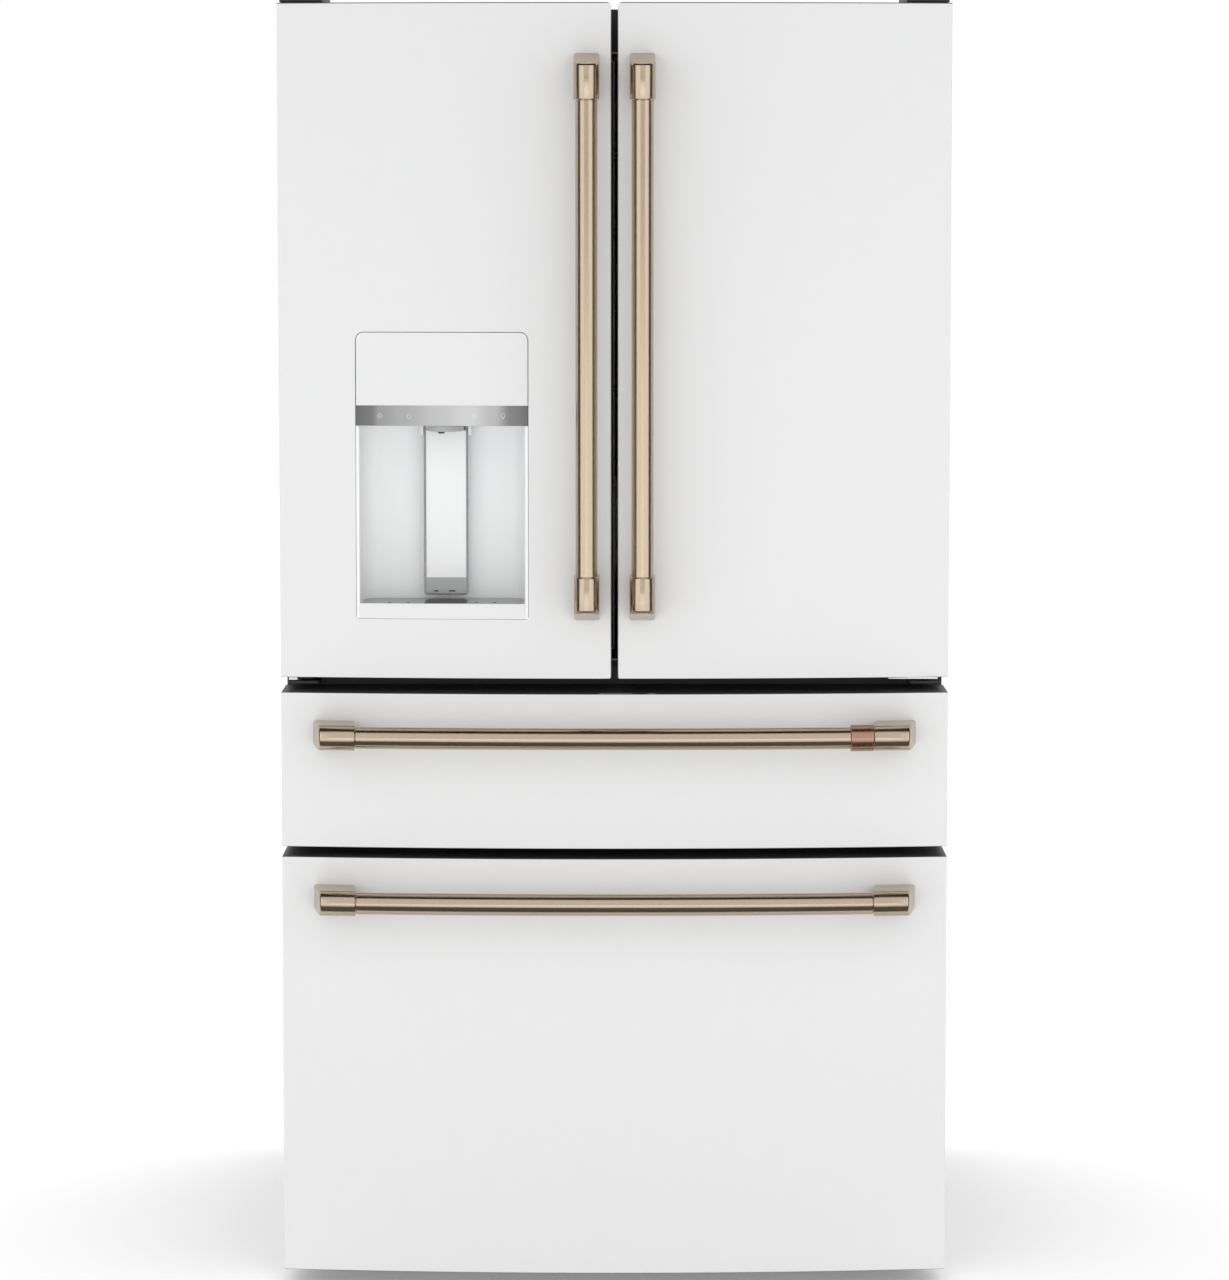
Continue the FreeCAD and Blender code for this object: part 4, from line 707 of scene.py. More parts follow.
# lever: a white panel in a thin chrome frame, with a grey foot
LEVER_FRONT, LEVER_REAR = -334.0, -328.0
LEVER_FOOT, LEVER_TOP = span("dispenser_paddle")[4:]
lx0, lx1 = LEVER_X - 30, LEVER_X + 30
bm = bmesh.new()
prism(bm, rounded(lx0 + 2.2, lx1 - 2.2, LEVER_FOOT + 2.2, LEVER_TOP - 1, (2.4, 2.4, 1, 1)),
      LEVER_FRONT + 1.4, LEVER_REAR, "y")
piece("lever_panel", "dispenser_lever", bm, BRIGHT, "dispenser_paddle", bevel=0.3, segments=2)
bm = bmesh.new()
profile = [(0.5, LEVER_FRONT), (0, LEVER_FRONT + 0.6), (0, LEVER_REAR - 0.5), (0.5, LEVER_REAR), (2.0,
        LEVER_REAR),
           (2.5, LEVER_REAR - 0.5), (2.5, LEVER_FRONT + 0.6), (2.0, LEVER_FRONT)]
border(bm, (lx0, lx1), (LEVER_FOOT, LEVER_TOP), profile, 4.4)
lathe(bm, ((LEVER_X - 34.4, 1.8), (LEVER_X - 34.2, 2.4), (LEVER_X + 34.2, 2.4), (LEVER_X + 34.4, 1.8)),
      (-331, 1179), "x", 20)
piece("lever_frame", "dispenser_lever", bm, CHROME)
bm = bmesh.new()
block(bm, (lx0 + 3.4, lx1 - 3.4), (LEVER_FRONT + 0.3, LEVER_FRONT + 1.8), (LEVER_FOOT + 3.2,
        LEVER_FOOT + 24), 1.0, "y")
piece("lever_foot", "dispenser_lever", bm, GREY, bevel=0.3, segments=2)
# two black blocks on the lever's foot stand in for its slots: painted shade of openings that are not cut
bm = bmesh.new()
for a, b in ((-17, -11), (3.5, 12.5)):
    block(bm, (LEVER_X + a, LEVER_X + b), (LEVER_FRONT - 0.1, LEVER_FRONT + 0.8), (LEVER_FOOT + 4.6,
            LEVER_FOOT + 6.4), 0.8, "y")
piece("lever_slot_shade", "dispenser_lever", bm, BLACK)

# tray
TRAY_BACK, TRAY_TOP = span("dispenser_tray")[3], span("dispenser_tray")[5]
tx0, tx1 = NICHE_L + 0.2, NICHE_R - 0.2
bm = bmesh.new()


def tray_outline(inset, corner, rear):
    front = [(x, y) for x, y in bowed_outline(tx0 + inset, tx1 - inset, -360, 0.5 + inset * 0.6, 1.0,
                                              24)][1:-1]
    rear_arc = []
    for i in range(9):
        angle = math.radians(90 * i / 8)
        rear_arc.append((tx1 - 4.8 - inset - corner * (1 - math.cos(angle)),
                         rear - corner * (1 - math.sin(angle))))
    for i in range(9):
        angle = math.radians(90 - 90 * i / 8)
        rear_arc.append((tx0 + 4.8 + inset + corner * (1 - math.cos(angle)),
                         rear - corner * (1 - math.sin(angle))))
    shoulder = bow(tx1) + 2
    return front + [(tx1 - inset, shoulder), (tx1 - 4.8 - inset, shoulder + 0.4)] + rear_arc + [
        (tx0 + 4.8 + inset, bow(tx0) + 2.4), (tx0 + inset, bow(tx0) + 2)]


prism(bm, tray_outline(0, 24, TRAY_BACK + 6), NICHE_FOOT, TRAY_TOP)
tray = piece("tray_body", "left_door", bm, WHITE, "dispenser_tray", bevel=0.8)
keep = bmesh.new()
prism(keep, rounded(tx0, tx1, NICHE_FOOT, TRAY_TOP, (3.6, 3.6, 0.4, 0.4)), -430, -290, "y")
carve(tray, "INTERSECT", keep)
bm = bmesh.new()
top_plate = [(x, y) for x, y in tray_outline(2.4, 22, TRAY_BACK + 3.6)]
top_plate = [(x, max(y, bow(x) + 3.4)) for x, y in top_plate]
prism(bm, top_plate, TRAY_TOP - 2, TRAY_TOP + 0.25)
piece("tray_plate", "left_door", bm, GREY, bevel=0.2, segments=2)
bm = bmesh.new()
block(bm, (LEVER_X - 28, LEVER_X + 30), (-393, -346), (TRAY_TOP - 1, TRAY_TOP + 0.7), 3.0)
for i in range(9):
    y = -389 + i * 5
    block(bm, (LEVER_X - 24, LEVER_X + 26), (y, y + 2), (TRAY_TOP, TRAY_TOP + 1.5), 0.9)
piece("tray_grate", "left_door", bm, CAP, bevel=0.25, segments=2)
# four dark grey discs on the tray plate stand in for drain holes: painted shade of holes that are not cut
bm = bmesh.new()
for x in (-75, -50, 43, 67):
    lathe(bm, ((TRAY_TOP, 2.6), (TRAY_TOP + 0.6, 2.6), (TRAY_TOP + 0.9, 2.0)), (LEVER_X + x, -382), count=18)
piece("tray_drain_hole_shade", "left_door", bm, CAP)


# ---------------------------------------------------------------- hinges


def screw(bm, place, height, axis="z", radius=4.0, way=1):
    """A pan head with a round recess in its top."""
    profile = ((0, radius), (1.2, radius), (2.2, radius * 0.82), (2.6, radius * 0.5), (2.6,
            radius * 0.42), (1.2, radius * 0.4))
    lathe(bm, [(height + way * h, r) for h, r in profile], place, axis, 24)


hx0, hx1, hy0, hy1, hz0, hz1 = span("hinge_covers")
DOOR_TOP = span("left_door_end_caps")[5]
DOOR_FOOT = span("left_door_end_caps")[4]
CASE_TOP = hz0
for side, word in ((LEFT, "left"), (RIGHT, "right")):
    x0, x1 = sorted((side * (HINGE_X - 40), side * hx1))
    bm = bmesh.new()
    block(bm, (x0, x1), (hy0, hy1), (DOOR_TOP + 1.5, hz1 - 1.6), 9.0)
    block(bm, (x0 + 0.4, x1 - 0.4), (-281.3, hy1 - 0.4), (CASE_TOP, DOOR_TOP + 3), 7.0)
    block(bm, (x0 + 10, x1 - 10), (hy0 + 12, hy1 - 46), (hz1 - 4, hz1), 6.0)
    piece(f"{word}_hinge_cover", "cabinet", bm, CASE, "hinge_covers", slot="grey_plastic", bevel=2.2,
          segments=4)
    bm = bmesh.new()
    screw(bm, ((x0 + x1) / 2, hy1 - 22), hz1 - 3.2)
    piece(f"{word}_cover_screw", "cabinet", bm, ZINC)

    x0, x1 = sorted((side * (HINGE_X - 32), side * (HINGE_X + 14)))
    bm = bmesh.new()
    block(bm, (x0, x1), (HINGE_Y - 14, -212.5), (DOOR_TOP + 2, DOOR_TOP + 5), 8.0)
    block(bm, (x0, x1), (-280.5, -212.5), (CASE_TOP, DOOR_TOP + 2), 4.0)
    lathe(bm, ((DOOR_TOP - 20, 3.6), (DOOR_TOP - 18.5, 5), (DOOR_TOP + 5, 5)), (side * HINGE_X, HINGE_Y))
    low = DOOR_FOOT - 13
    block(bm, (x0, x1), (HINGE_Y - 14, -282.5), (low, low + 4), 8.0)
    block(bm, (x0, x1), (-286.5, -282.5), (low, DOOR_FOOT - 2), 1.5)
    lathe(bm, ((low + 4, 8.4), (DOOR_FOOT - 1.2, 8), (DOOR_FOOT - 0.4, 7.4)), (side * HINGE_X, HINGE_Y))
    lathe(bm, ((low, 5), (DOOR_FOOT + 12.5, 5), (DOOR_FOOT + 14, 3.6)), (side * HINGE_X, HINGE_Y))
    for x in (x0 + 11, x1 - 14):
        screw(bm, (x, (low + DOOR_FOOT - 2) / 2 + 1.5), -286.5, "y", 3.2, -1)
    piece(f"{word}_hinges", "cabinet", bm, CASE, "door_hinges", slot="zinc_steel", bevel=0.6, segments=2)

for door, x, drop, material, slot in (("left_door", (-443, -431), 4.0, MARK, "white_plastic"),
                                      ("left_door", (-430.8, -409), 1.9, BLACK, "black_plastic"),
                                      ("right_door", (372, 439), 2.0, MARK, "white_plastic")):
    bm = bmesh.new()
    block(bm, x, (bow(x[0]) + 2.2, -347), (DOOR_FOOT - drop, DOOR_FOOT + 0.2), 1.5)
    piece(f"{door}_{slot}_wear_strip", door, bm, material, slot=slot, bevel=0.3, segments=2)


# ---------------------------------------------------------------- inside the doors

for prefix, side in (("left_door", LEFT), ("right_door", RIGHT)):
    x0, x1, y0, _, z0, z1 = span(f"{prefix}_liner")
    ridge = sorted((side * 62, side * 392))
    bm = bmesh.new()
    edge = sorted((side * 5.95, side * 452.8))
    block(bm, edge, (y0, y0 + 2), (z0, z1), 5.0, "y")
    ridge_profile = [(0, y0 + 1), (1.2, -240), (3.2, -220.5), (5.8, -216), (9.5, -215), (13, -216), (15.6,
            -220.5),
                     (18.4, -240), (20, y0 + 1)]
    border(bm, ridge, (866, 1686), ridge_profile, 12.0)
    for z in (900, 1660):
        block(bm, (ridge[0] + 24, ridge[1] - 24), (y0 + 1, y0 + 4.5), (z, z + 5), 2.4, "y")
    feet = (905, 1130) if side == LEFT else (905, 1180, 1440)
    for foot in feet:
        for x in (ridge[0] + 20, ridge[1] - 21.5):
            block(bm, (x, x + 1.5), (y0 + 1, -235), (foot + 60, foot + 100), 0.7, "y")
    if side == LEFT:
        for z in ((866, 871.7), (1680.3, 1686)):
            block(bm, (-62, -38), (-294.5, -268), z, 3.0)
        for z in ((866, 886), (1666, 1686)):
            lathe(bm, ((z[0], 3), (z[1], 3)), (-46, -275.1), count=24)
    piece(f"{prefix}_moulding", prefix, bm, LINER, f"{prefix}_liner", bevel=0.9, segments=3)

    bx = sorted((side * 82, side * 372))
    for index, foot in enumerate(feet):
        bm = bmesh.new()
        open_bin(bm, (bx[0] + 0.5, bx[1] - 0.5), (-294.4, -190), (foot, foot + 105), 2.6, 14, lip=1.0,
                 taper=2.0)
        piece(f"{prefix}_bin_{index}", prefix, bm, CLEAR, f"{prefix}_bins")
        bm = bmesh.new()
        block(bm, (bx[0] + 4, bx[1] - 4), (-190.4, -187.6), (foot + 80, foot + 104), 2.6, "y")
        for x in (bx[0] + 0.2, bx[1] - 3.2):
            block(bm, (x, x + 3), (-292, -200), (foot + 96, foot + 105.6), 1.4, "y")
        piece(f"{prefix}_bin_trim_{index}", prefix, bm, GREY, bevel=0.6)

bm = bmesh.new()
block(bm, (-371.6, -82.4), (-294.4, -184), (1340, 1650), 8.0, "y")
piece("ice_maker_case", "left_door", bm, LINER, "ice_maker", slot="white_plastic", bevel=2.4, segments=4)
bm = bmesh.new()
block(bm, (-364, -90), (-185, -178.6), (1348, 1642), 10.0, "y")
piece("ice_maker_door", "left_door", bm, WHITE, bevel=2.0, segments=4)
bm = bmesh.new()
block(bm, (-104, -96), (-180, -174.5), (1470, 1520), 3.4, "y")
for i in range(6):
    block(bm, (-270, -184), (-179.2, -177.9), (1600 + i * 6, 1603 + i * 6), 1.3, "y")
piece("ice_maker_latch", "left_door", bm, GREY, bevel=0.5)

mx0, mx1, my0, my1, mz0, mz1 = span("mullion_bar")
bm = bmesh.new()
block(bm, (mx0, mx1), (my0 + 1.2, my1), (mz0, mz1), 2.4)
block(bm, (mx0 + 9, mx1 - 9), (my1 - 1.5, my1 - 0.2), (mz0 + 24, mz1 - 24), 1.0)
piece("mullion_case", "mullion", bm, LINER, "mullion_bar", slot="white_plastic", bevel=0.8)
bm = bmesh.new()
block(bm, (mx0 + 1.5, mx1 - 1.5), (my0, my0 + 1.4), (mz0 + 1, mz1 - 1), 1.0, "y")
piece("mullion_strike", "mullion", bm, BLACK, bevel=0.3, segments=2)

# ---------------------------------------------------------------- inside the rooms

ROOM = 402.0
COLD_FAN = (0, 470)  # x and z of its axis
CONDENSER_FAN = (350, 145)  # y and z of its axis
GUARD_Y = 346.4
BACK = 405.0
ROOMS = {"fresh": (858, 1690), "middle": (628, 812), "freezer": (110, 585)}


def cove(bm, corner, sx, sy, low, high, axis, radius=14.0):
    """A quarter-round fillet in an inside corner, running along an axis."""
    a, b = corner
    outline = [(a - sx * 0.3, b - sy * 0.3), (a + sx * radius, b - sy * 0.3)]
    for i in range(1, 8):
        angle = math.radians(90 * i / 8)
        outline.append((a + sx * radius * (1 - math.sin(angle)), b + sy * radius * (1 - math.cos(angle))))
    outline.append((a - sx * 0.3, b + sy * radius))
    prism(bm, outline, low, high, axis)


bm = bmesh.new()
for room, (low, high) in ROOMS.items():
    for side in (LEFT, RIGHT):
        back_low = low if room != "freezer" else 304
        cove(bm, (side * ROOM, BACK), -side, -1, back_low, high, "z")
        cove(bm, (side * ROOM, high), -side, -1, -281, BACK, "y", 10)
        cove(bm, (side * ROOM, low), -side, 1, -281, BACK if room != "freezer" else 198, "y", 6)
piece("room_coving", "cabinet", bm, LINER)

bm = bmesh.new()
for x in (-392, -70, 66, 388):
    block(bm, (x, x + 7), (BACK - 5, BACK - 0.2), (1116, 1680), 2.0, "z")
piece("shelf_tracks", "cabinet", bm, ZINC, bevel=0.5)
# black blocks on the tracks stand in for their slots: painted shade of openings that are not cut
bm = bmesh.new()
for x in (-392, -70, 66, 388):
    for i in range(26):
        z = 1122 + i * 21.5
        block(bm, (x + 2.2, x + 4.8), (BACK - 5.3, BACK - 4.6), (z, z + 12), 1.2, "y")
piece("shelf_track_slot_shade", "cabinet", bm, BLACK)

bm = bmesh.new()
block(bm, (-120, 120), (-140, -100), (1684.5, 1690.3), 9.0)
for side in (LEFT, RIGHT):
    x = sorted((side * 399.6, side * 402.3))
    block(bm, x, (-60, -44), (1180, 1600), 1.0)
piece("light_covers", "cabinet", bm, MARK, bevel=1.2, segments=4)

SHELVES = {LEFT: (1270, 1460), RIGHT: (1320, 1500)}
for side, word in ((LEFT, "left"), (RIGHT, "right")):
    x = sorted((side * 5, side * 399))
    for index, z in enumerate(SHELVES[side]):
        bm = bmesh.new()
        profile = [(0.6, z), (0, z + 0.8), (0, z + 10.8), (1.2, z + 12), (8.6, z + 12), (9.8, z + 11.2),
                   (9.8, z + 8),
                   (14, z + 7.6), (14, z + 0.8), (13.4, z)]
        border(bm, x, (-160, 370), profile, 8.0, "z")
        piece(f"{word}_shelf_frame_{index}", "cabinet", bm, LINER, "glass_shelves", slot="glass")
        bm = bmesh.new()
        prism(bm, rounded(x[0] + 10.2, x[1] - 10.2, -149.8, 359.8, 2.5), z + 8, z + 11.9)
        piece(f"{word}_shelf_glass_{index}", "cabinet", bm, GLASS, bevel=0.5, segments=2)
        bm = bmesh.new()
        block(bm, (x[0] + 3, x[1] - 3), (-162.4, -158), (z + 0.6, z + 11.6), 2.0, "x")
        piece(f"{word}_shelf_trim_{index}", "cabinet", bm, STEEL, bevel=0.6)
        bm = bmesh.new()
        for bx in (x[0] + 3, x[1] - 6):
            prism(bm, [(369, z + 11), (402, z + 11), (404, z + 6), (404, z - 44), (399, z - 44), (392,
                    z - 22), (369, z)],
                  bx, bx + 3, "x")
        piece(f"{word}_shelf_hooks_{index}", "cabinet", bm, ZINC, bevel=0.4, segments=2)

    bm = bmesh.new()
    cx = sorted((side * 4, side * 398))
    open_bin(bm, cx, (-130, 330), (866, 1079), 3.0, 16, lip=3.0, taper=4.0)
    block(bm, (cx[0] + 40, cx[1] - 40), (-131.2, -126), (1052, 1074), 5.0, "y")
    piece(f"crisper_{word}_bin", f"{word}_crisper", bm, CLEAR, f"crisper_{word}")
    bm = bmesh.new()
    block(bm, (cx[0] + 44, cx[1] - 44), (-133.4, -130.6), (1056, 1070), 4.0, "y")
    piece(f"crisper_{word}_pull", f"{word}_crisper", bm, STEEL, bevel=0.7)

bm = bmesh.new()
block(bm, (-400, 400), (-145, -131), (1084, 1102), 5.0, "x")
block(bm, (-3, 3), (-131, 379), (1084, 1096), 1.0, "y")
piece("crisper_cover_rail", "cabinet", bm, WHITE, "glass_shelves", bevel=1.0)
bm = bmesh.new()
prism(bm, rounded(-400, 400, -131, 379, 4.0), 1096, 1099.9)
piece("crisper_cover_glass", "cabinet", bm, GLASS, bevel=0.5, segments=2)

# air tower and the evaporator behind the freezer's rear wall
bm = bmesh.new()
tower = [(-58, BACK), (-58, 390)]
tower += [(-58 + 116 * i / 14, 390 - 9 * math.sin(math.pi * i / 14) ** 0.6) for i in range(1, 14)]
tower += [(58, 390), (58, BACK)]
prism(bm, tower, 1112, 1682)
piece("air_tower", "cabinet", bm, WHITE, "air_ducts", bevel=1.5)
# dark grey strips on the air tower stand in for its vents: painted shade of openings that are not cut
bm = bmesh.new()
for i in range(4):
    for j in range(3):
        z = 1186 + i * 120 + j * 7
        block(bm, (-40, 40), (380.4, 386), (z, z + 3.4), 1.6, "y")
piece("air_tower_vent_shade", "cabinet", bm, CAP)

bm = bmesh.new()
block(bm, (-399.8, 399.8), (346, 349), (305, 584), 10.0, "y")
for i in range(7):
    z = 325 + i * 9
    block(bm, (-330, -120), (344.6, 347), (z, z + 4), 1.8, "y")
    block(bm, (120, 330), (344.6, 347), (z, z + 4), 1.8, "y")
wall = piece("evaporator_cover", "cabinet", bm, LINER, "air_ducts", slot="white_plastic", bevel=0.8)
mouth = bmesh.new()
lathe(mouth, ((330, 52), (360, 52)), COLD_FAN, "y", 64)
carve(wall, "DIFFERENCE", mouth)
bm = bmesh.new()
for radius in (51, 42, 33, 24, 15):
    points = [(radius * math.cos(2 * math.pi * i / 48), GUARD_Y,
               COLD_FAN[1] + radius * math.sin(2 * math.pi * i / 48)) for i in range(48)]
    sweep(bm, points, 1.1, 8, closed=True)
for i in range(8):
    angle = math.pi * i / 4 + 0.2
    sweep(bm, [(12 * math.cos(angle), GUARD_Y, COLD_FAN[1] + 12 * math.sin(angle)),
               (52.4 * math.cos(angle), GUARD_Y, COLD_FAN[1] + 52.4 * math.sin(angle))],
          1.2, 8)
lathe(bm, ((344.8, 12), (345.2, 14), (347.6, 14), (348, 12)), COLD_FAN, "y", 32)
piece("fan_guard", "cabinet", bm, WHITE)


def serpentine(x0, x1, y, z0, pitch, passes):
    """A tube's line through straight passes along x joined by half turns."""
    points = []
    radius = pitch / 2
    for k in range(passes):
        z = z0 + k * pitch
        ends = (x0, x1) if k % 2 == 0 else (x1, x0)
        points += [(ends[0], y, z), (ends[1], y, z)]
        if k + 1 < passes:
            way = 1 if ends[1] > ends[0] else -1
            for i in range(1, 8):
                angle = math.pi * i / 8
                points.append((ends[1] + way * radius * math.sin(angle), y,
                               z + radius * (1 - math.cos(angle))))
    return points


bm = bmesh.new()
for side in (LEFT, RIGHT):
    for i in range(44):
        x = side * (90 + i * 6.05)
        block(bm, (x - 0.3, x + 0.3), (360, 398), (316, 567), 3.0, "x")
piece("evaporator_fins", "cabinet", bm, ALUMINIUM, "evaporator")
bm = bmesh.new()
for side in (LEFT, RIGHT):
    ends = sorted((side * 84, side * 355))
    for y in (370, 388):
        sweep(bm, serpentine(ends[0], ends[1], y, 342, 50, 5), 4, 12)
piece("evaporator_tubes", "cabinet", bm, ALUMINIUM)
bm = bmesh.new()
lathe(bm, ((381, 8), (381.6, 18), (384, 20), (401, 20), (405, 18)), COLD_FAN, "y", 40)
for i in range(3):
    angle = 2 * math.pi * i / 3 + 0.5
    sweep(bm, [(18 * math.cos(angle), 402, COLD_FAN[1] + 18 * math.sin(angle)), (58 * math.cos(angle),
            402, COLD_FAN[1] + 58 * math.sin(angle))], 2.2, 10)
piece("cold_motor", "cabinet", bm, BLACK)


def fan(bm, place, axis, hub, reach, low, high, count):
    """A moulded fan: a domed hub and swept, twisted blades."""
    turn = AXES[axis]
    middle = (low + high) / 2
    lathe(bm, ((high, hub * 0.72), (high, hub * 0.94), (high - 1.2, hub), (low + 2.5, hub), (low + 0.8,
            hub * 0.86), (low, hub * 0.4)),
          place, axis, 32)
    for blade in range(count):
        start = 2 * math.pi * blade / count
        rings = []
        for k in range(9):
            share = k / 8
            radius = hub - 1 + (reach - hub + 1) * share
            chord = (1.05 - 0.25 * share) * 2 * math.pi / count * 0.92
            rise = (high - low) * (0.86 - 0.34 * share)
            sweep_back = 0.35 * share * share
            upper, lower = [], []
            for i in range(9):
                s = i / 8
                angle = start + (s - 0.5) * chord - sweep_back
                height = middle + (s - 0.5) * rise + 2.0 * math.sin(math.pi * s)
                thick = 0.35 + 0.75 * math.sin(math.pi * s) ** 0.5 if 0 < s < 1 else 0.35
                a, b = place[0] + radius * math.cos(angle), place[1] + radius * math.sin(angle)
                upper.append(turn(a, b, height + thick))
                lower.append(turn(a, b, height - thick))
            rings.append(upper + list(reversed(lower)))
        skin(bm, rings)


bm = bmesh.new()
fan(bm, COLD_FAN, "y", 14, 47.6, 356.5, 379, 5)
piece("cold_fan_rotor", "evaporator_blades", bm, BLACK, "evaporator_fan")
bm = bmesh.new()
fan(bm, CONDENSER_FAN, "x", 18, 67.5, -72, -46, 5)
piece("condenser_rotor", "condenser_blades", bm, BLACK, "condenser_fan")


# ---------------------------------------------------------------- drawers inside

for node, body in (("middle_drawer_bin", "middle_drawer"), ("freezer_drawer_bin", "freezer_drawer")):
    x0, x1, y0, y1, z0, z1 = span(node)
    bm = bmesh.new()
    open_bin(bm, (x0, x1), (y0, y1), (z0, z1), 3.0, 12, lip=2.0, taper=2.0)
    for i in range(9):
        x = x0 + 60 + i * (x1 - x0 - 120) / 8
        block(bm, (x - 3, x + 3), (y0 + 8, y1 - 8), (z0 + 3.6, z0 + 5.2), 2.4, "y")
    for side in (LEFT, RIGHT):
        for i in range(6):
            y = y0 + 50 + i * 72
            x = sorted((side * (x1 - 4.4), side * (x1 - 6.6)))
            block(bm, x, (y, y + 5), (z0 + 8, z1 - 8), 1.0)
    piece(f"{body}_tub", body, bm, LINER, node, slot="white_plastic")

x0, x1, y0, y1, z0, z1 = span("freezer_basket")
inner = x1 - 12
bm = bmesh.new()
open_bin(bm, (-inner, inner), (y0, y1), (z0, z1), 3.0, 14, lip=2.0, taper=3.0)
for side in (LEFT, RIGHT):
    x = sorted((side * (inner - 2), side * x1))
    block(bm, x, (y0, y1), (z1 - 4, z1), 1.6, "y")
    for i in range(12):
        y = y0 + 24 + i * 36
        lift = sorted((side * (inner - 3.2), side * (inner - 6)))
        block(bm, lift, (y, y + 6), (z0 + 12, z1 - 16), 1.2)
for i in range(17):
    x = -inner + 40 + i * (2 * inner - 80) / 16
    block(bm, (x - 3, x + 3), (y0 + 2.4, y0 + 5.4), (z0 + 12, z1 - 34), 1.4)
piece("basket_tub", "upper_basket", bm, LINER, "freezer_basket", slot="white_plastic")
bm = bmesh.new()
block(bm, (-90, 90), (y0 - 0.2, y0 + 8), (z1 - 26, z1 - 12), 5.0, "y")
piece("basket_pull", "upper_basket", bm, GREY, bevel=1.4)


def channel(bm, x, y, z, half, side):
    """A rolled C section along y, its web on the outer side."""
    outer, inner = (x[1], x[0]) if side == RIGHT else (x[0], x[1])
    wall = side * 1.1
    outline = [
        (outer, z - half), (outer, z + half), (inner, z + half), (inner, z + half - 3.2), (inner + wall,
                z + half - 3.2),
        (inner + wall, z + half - 1.1), (outer - wall, z + half - 1.1), (outer - wall, z - half + 1.1),
        (inner + wall, z - half + 1.1), (inner + wall, z - half + 3.2), (inner, z - half + 3.2), (inner,
                z - half),
    ]
    prism(bm, outline, *y, axis="y")


MEMBER, PLAY, BIN_HALF = 3.4, 0.3, 391.1
rails = bmesh.new()
for prefix, links, z in (("middle_drawer", "middle_links", 760), ("freezer_drawer", "freezer_links", 330)):
    moving, between = bmesh.new(), bmesh.new()
    for side in (LEFT, RIGHT):
        for mesh, index, half, reach in (
            (rails, 0, 22, (-272, 190)), (between, 1, 17, (-272, 190)), (moving, 2, 12, (-294.4, 186))
        ):
            low = BIN_HALF + (2 - index) * (MEMBER + PLAY)
            x = sorted((side * low, side * (low + MEMBER)))
            channel(mesh, x, reach, z, half, side)
        for y in (-240, -60, 140):
            screw(rails, (y, z), side * (BIN_HALF + 2 * (MEMBER + PLAY) + 0.5), "x", 4.2, side)
    piece(f"{prefix}_slide_moving", prefix, moving, ZINC, f"{prefix}_slides")
    piece(f"{prefix}_slide_between", links, between, ZINC, f"{prefix}_slide_links")
piece("slide_rails_fixed", "cabinet", rails, ZINC, "slide_rails")


# ---------------------------------------------------------------- machine room

PAN = 47.0
COMPRESSOR = (230.0, 350.0)
bm = bmesh.new()
dome = [(PAN + 14, 30), (PAN + 15, 52), (PAN + 20, 66), (PAN + 30, 74), (PAN + 46, 77.4), (PAN + 92,
        77.4), (PAN + 92, 78), (PAN + 97, 78),
        (PAN + 97, 76.5), (PAN + 122, 75.4), (PAN + 140, 70), (PAN + 155, 57), (PAN + 165, 38),
        (PAN + 169, 18), (PAN + 170, 4)]
lathe(bm, dome, COMPRESSOR, count=56)
piece("compressor_shell", "cabinet", bm, ENAMEL_BLACK, "compressor")
bm = bmesh.new()
block(bm, (130, 330), (290, 410), (PAN + 10, PAN + 14), 16.0)
piece("compressor_plate", "cabinet", bm, ENAMEL_BLACK, bevel=0.8)
bm = bmesh.new()
for x in (145, 315):
    for y in (305, 395):
        lathe(bm, ((PAN, 12), (PAN + 3, 12), (PAN + 4, 10), (PAN + 6, 10), (PAN + 7, 12), (PAN + 10, 12),
                   (PAN + 10, 6), (PAN + 16, 6)), (x, y), count=28)
piece("compressor_mounts", "cabinet", bm, RUBBER)
bm = bmesh.new()
block(bm, (300, 322), (318, 382), (PAN + 60, PAN + 118), 6.0, "x")
block(bm, (318, 325), (326, 374), (PAN + 68, PAN + 110), 4.0, "x")
piece("compressor_relay", "cabinet", bm, BLACK, bevel=1.0)
bm = bmesh.new()
pipe = [(196, 418, PAN + 80), (196, 432, PAN + 82), (190, 440, PAN + 92), (176, 442, PAN + 104), (150,
        442, PAN + 112), (90, 442, PAN + 112),
        (60, 441, PAN + 116), (52, 440, PAN + 130), (52, 440, PAN + 230)]
sweep(bm, pipe, 3.2, 12)
pipe = [(176, 396, PAN + 120), (160, 412, PAN + 128), (132, 424, PAN + 132), (60, 426, PAN + 132), (10,
        424, PAN + 140), (-60, 420, PAN + 190),
        (-100, 412, PAN + 192), (-120, 400, PAN + 188)]
sweep(bm, pipe, 3.2, 12)
piece("refrigerant_pipes", "cabinet", bm, COPPER_PIPE)

bm = bmesh.new()
for i in range(60):
    x = -360 + i * 4.08
    block(bm, (x, x + 0.5), (280, 420), (PAN + 8, PAN + 170), 4.0, "x")
piece("condenser_fins", "cabinet", bm, ALUMINIUM, "condenser")
bm = bmesh.new()
for y in (305, 350, 395):
    sweep(bm, serpentine(-366, -114, y, PAN + 26, 32, 5), 4, 12)
piece("condenser_tubes", "cabinet", bm, COPPER_PIPE)
bm = bmesh.new()
block(bm, (-362, -118), (280, 420), (PAN, PAN + 8), 6.0)
piece("condenser_feet", "cabinet", bm, BLACK, bevel=0.8)
bm = bmesh.new()
block(bm, (-92, -88), (265, 435), (PAN, 230), 12.0, "x")
shroud = piece("fan_shroud", "cabinet", bm, BLACK, bevel=0.8)
throat = bmesh.new()
lathe(throat, ((-100, 74), (-80, 74)), CONDENSER_FAN, "x", 72)
carve(shroud, "DIFFERENCE", throat)
bm = bmesh.new()
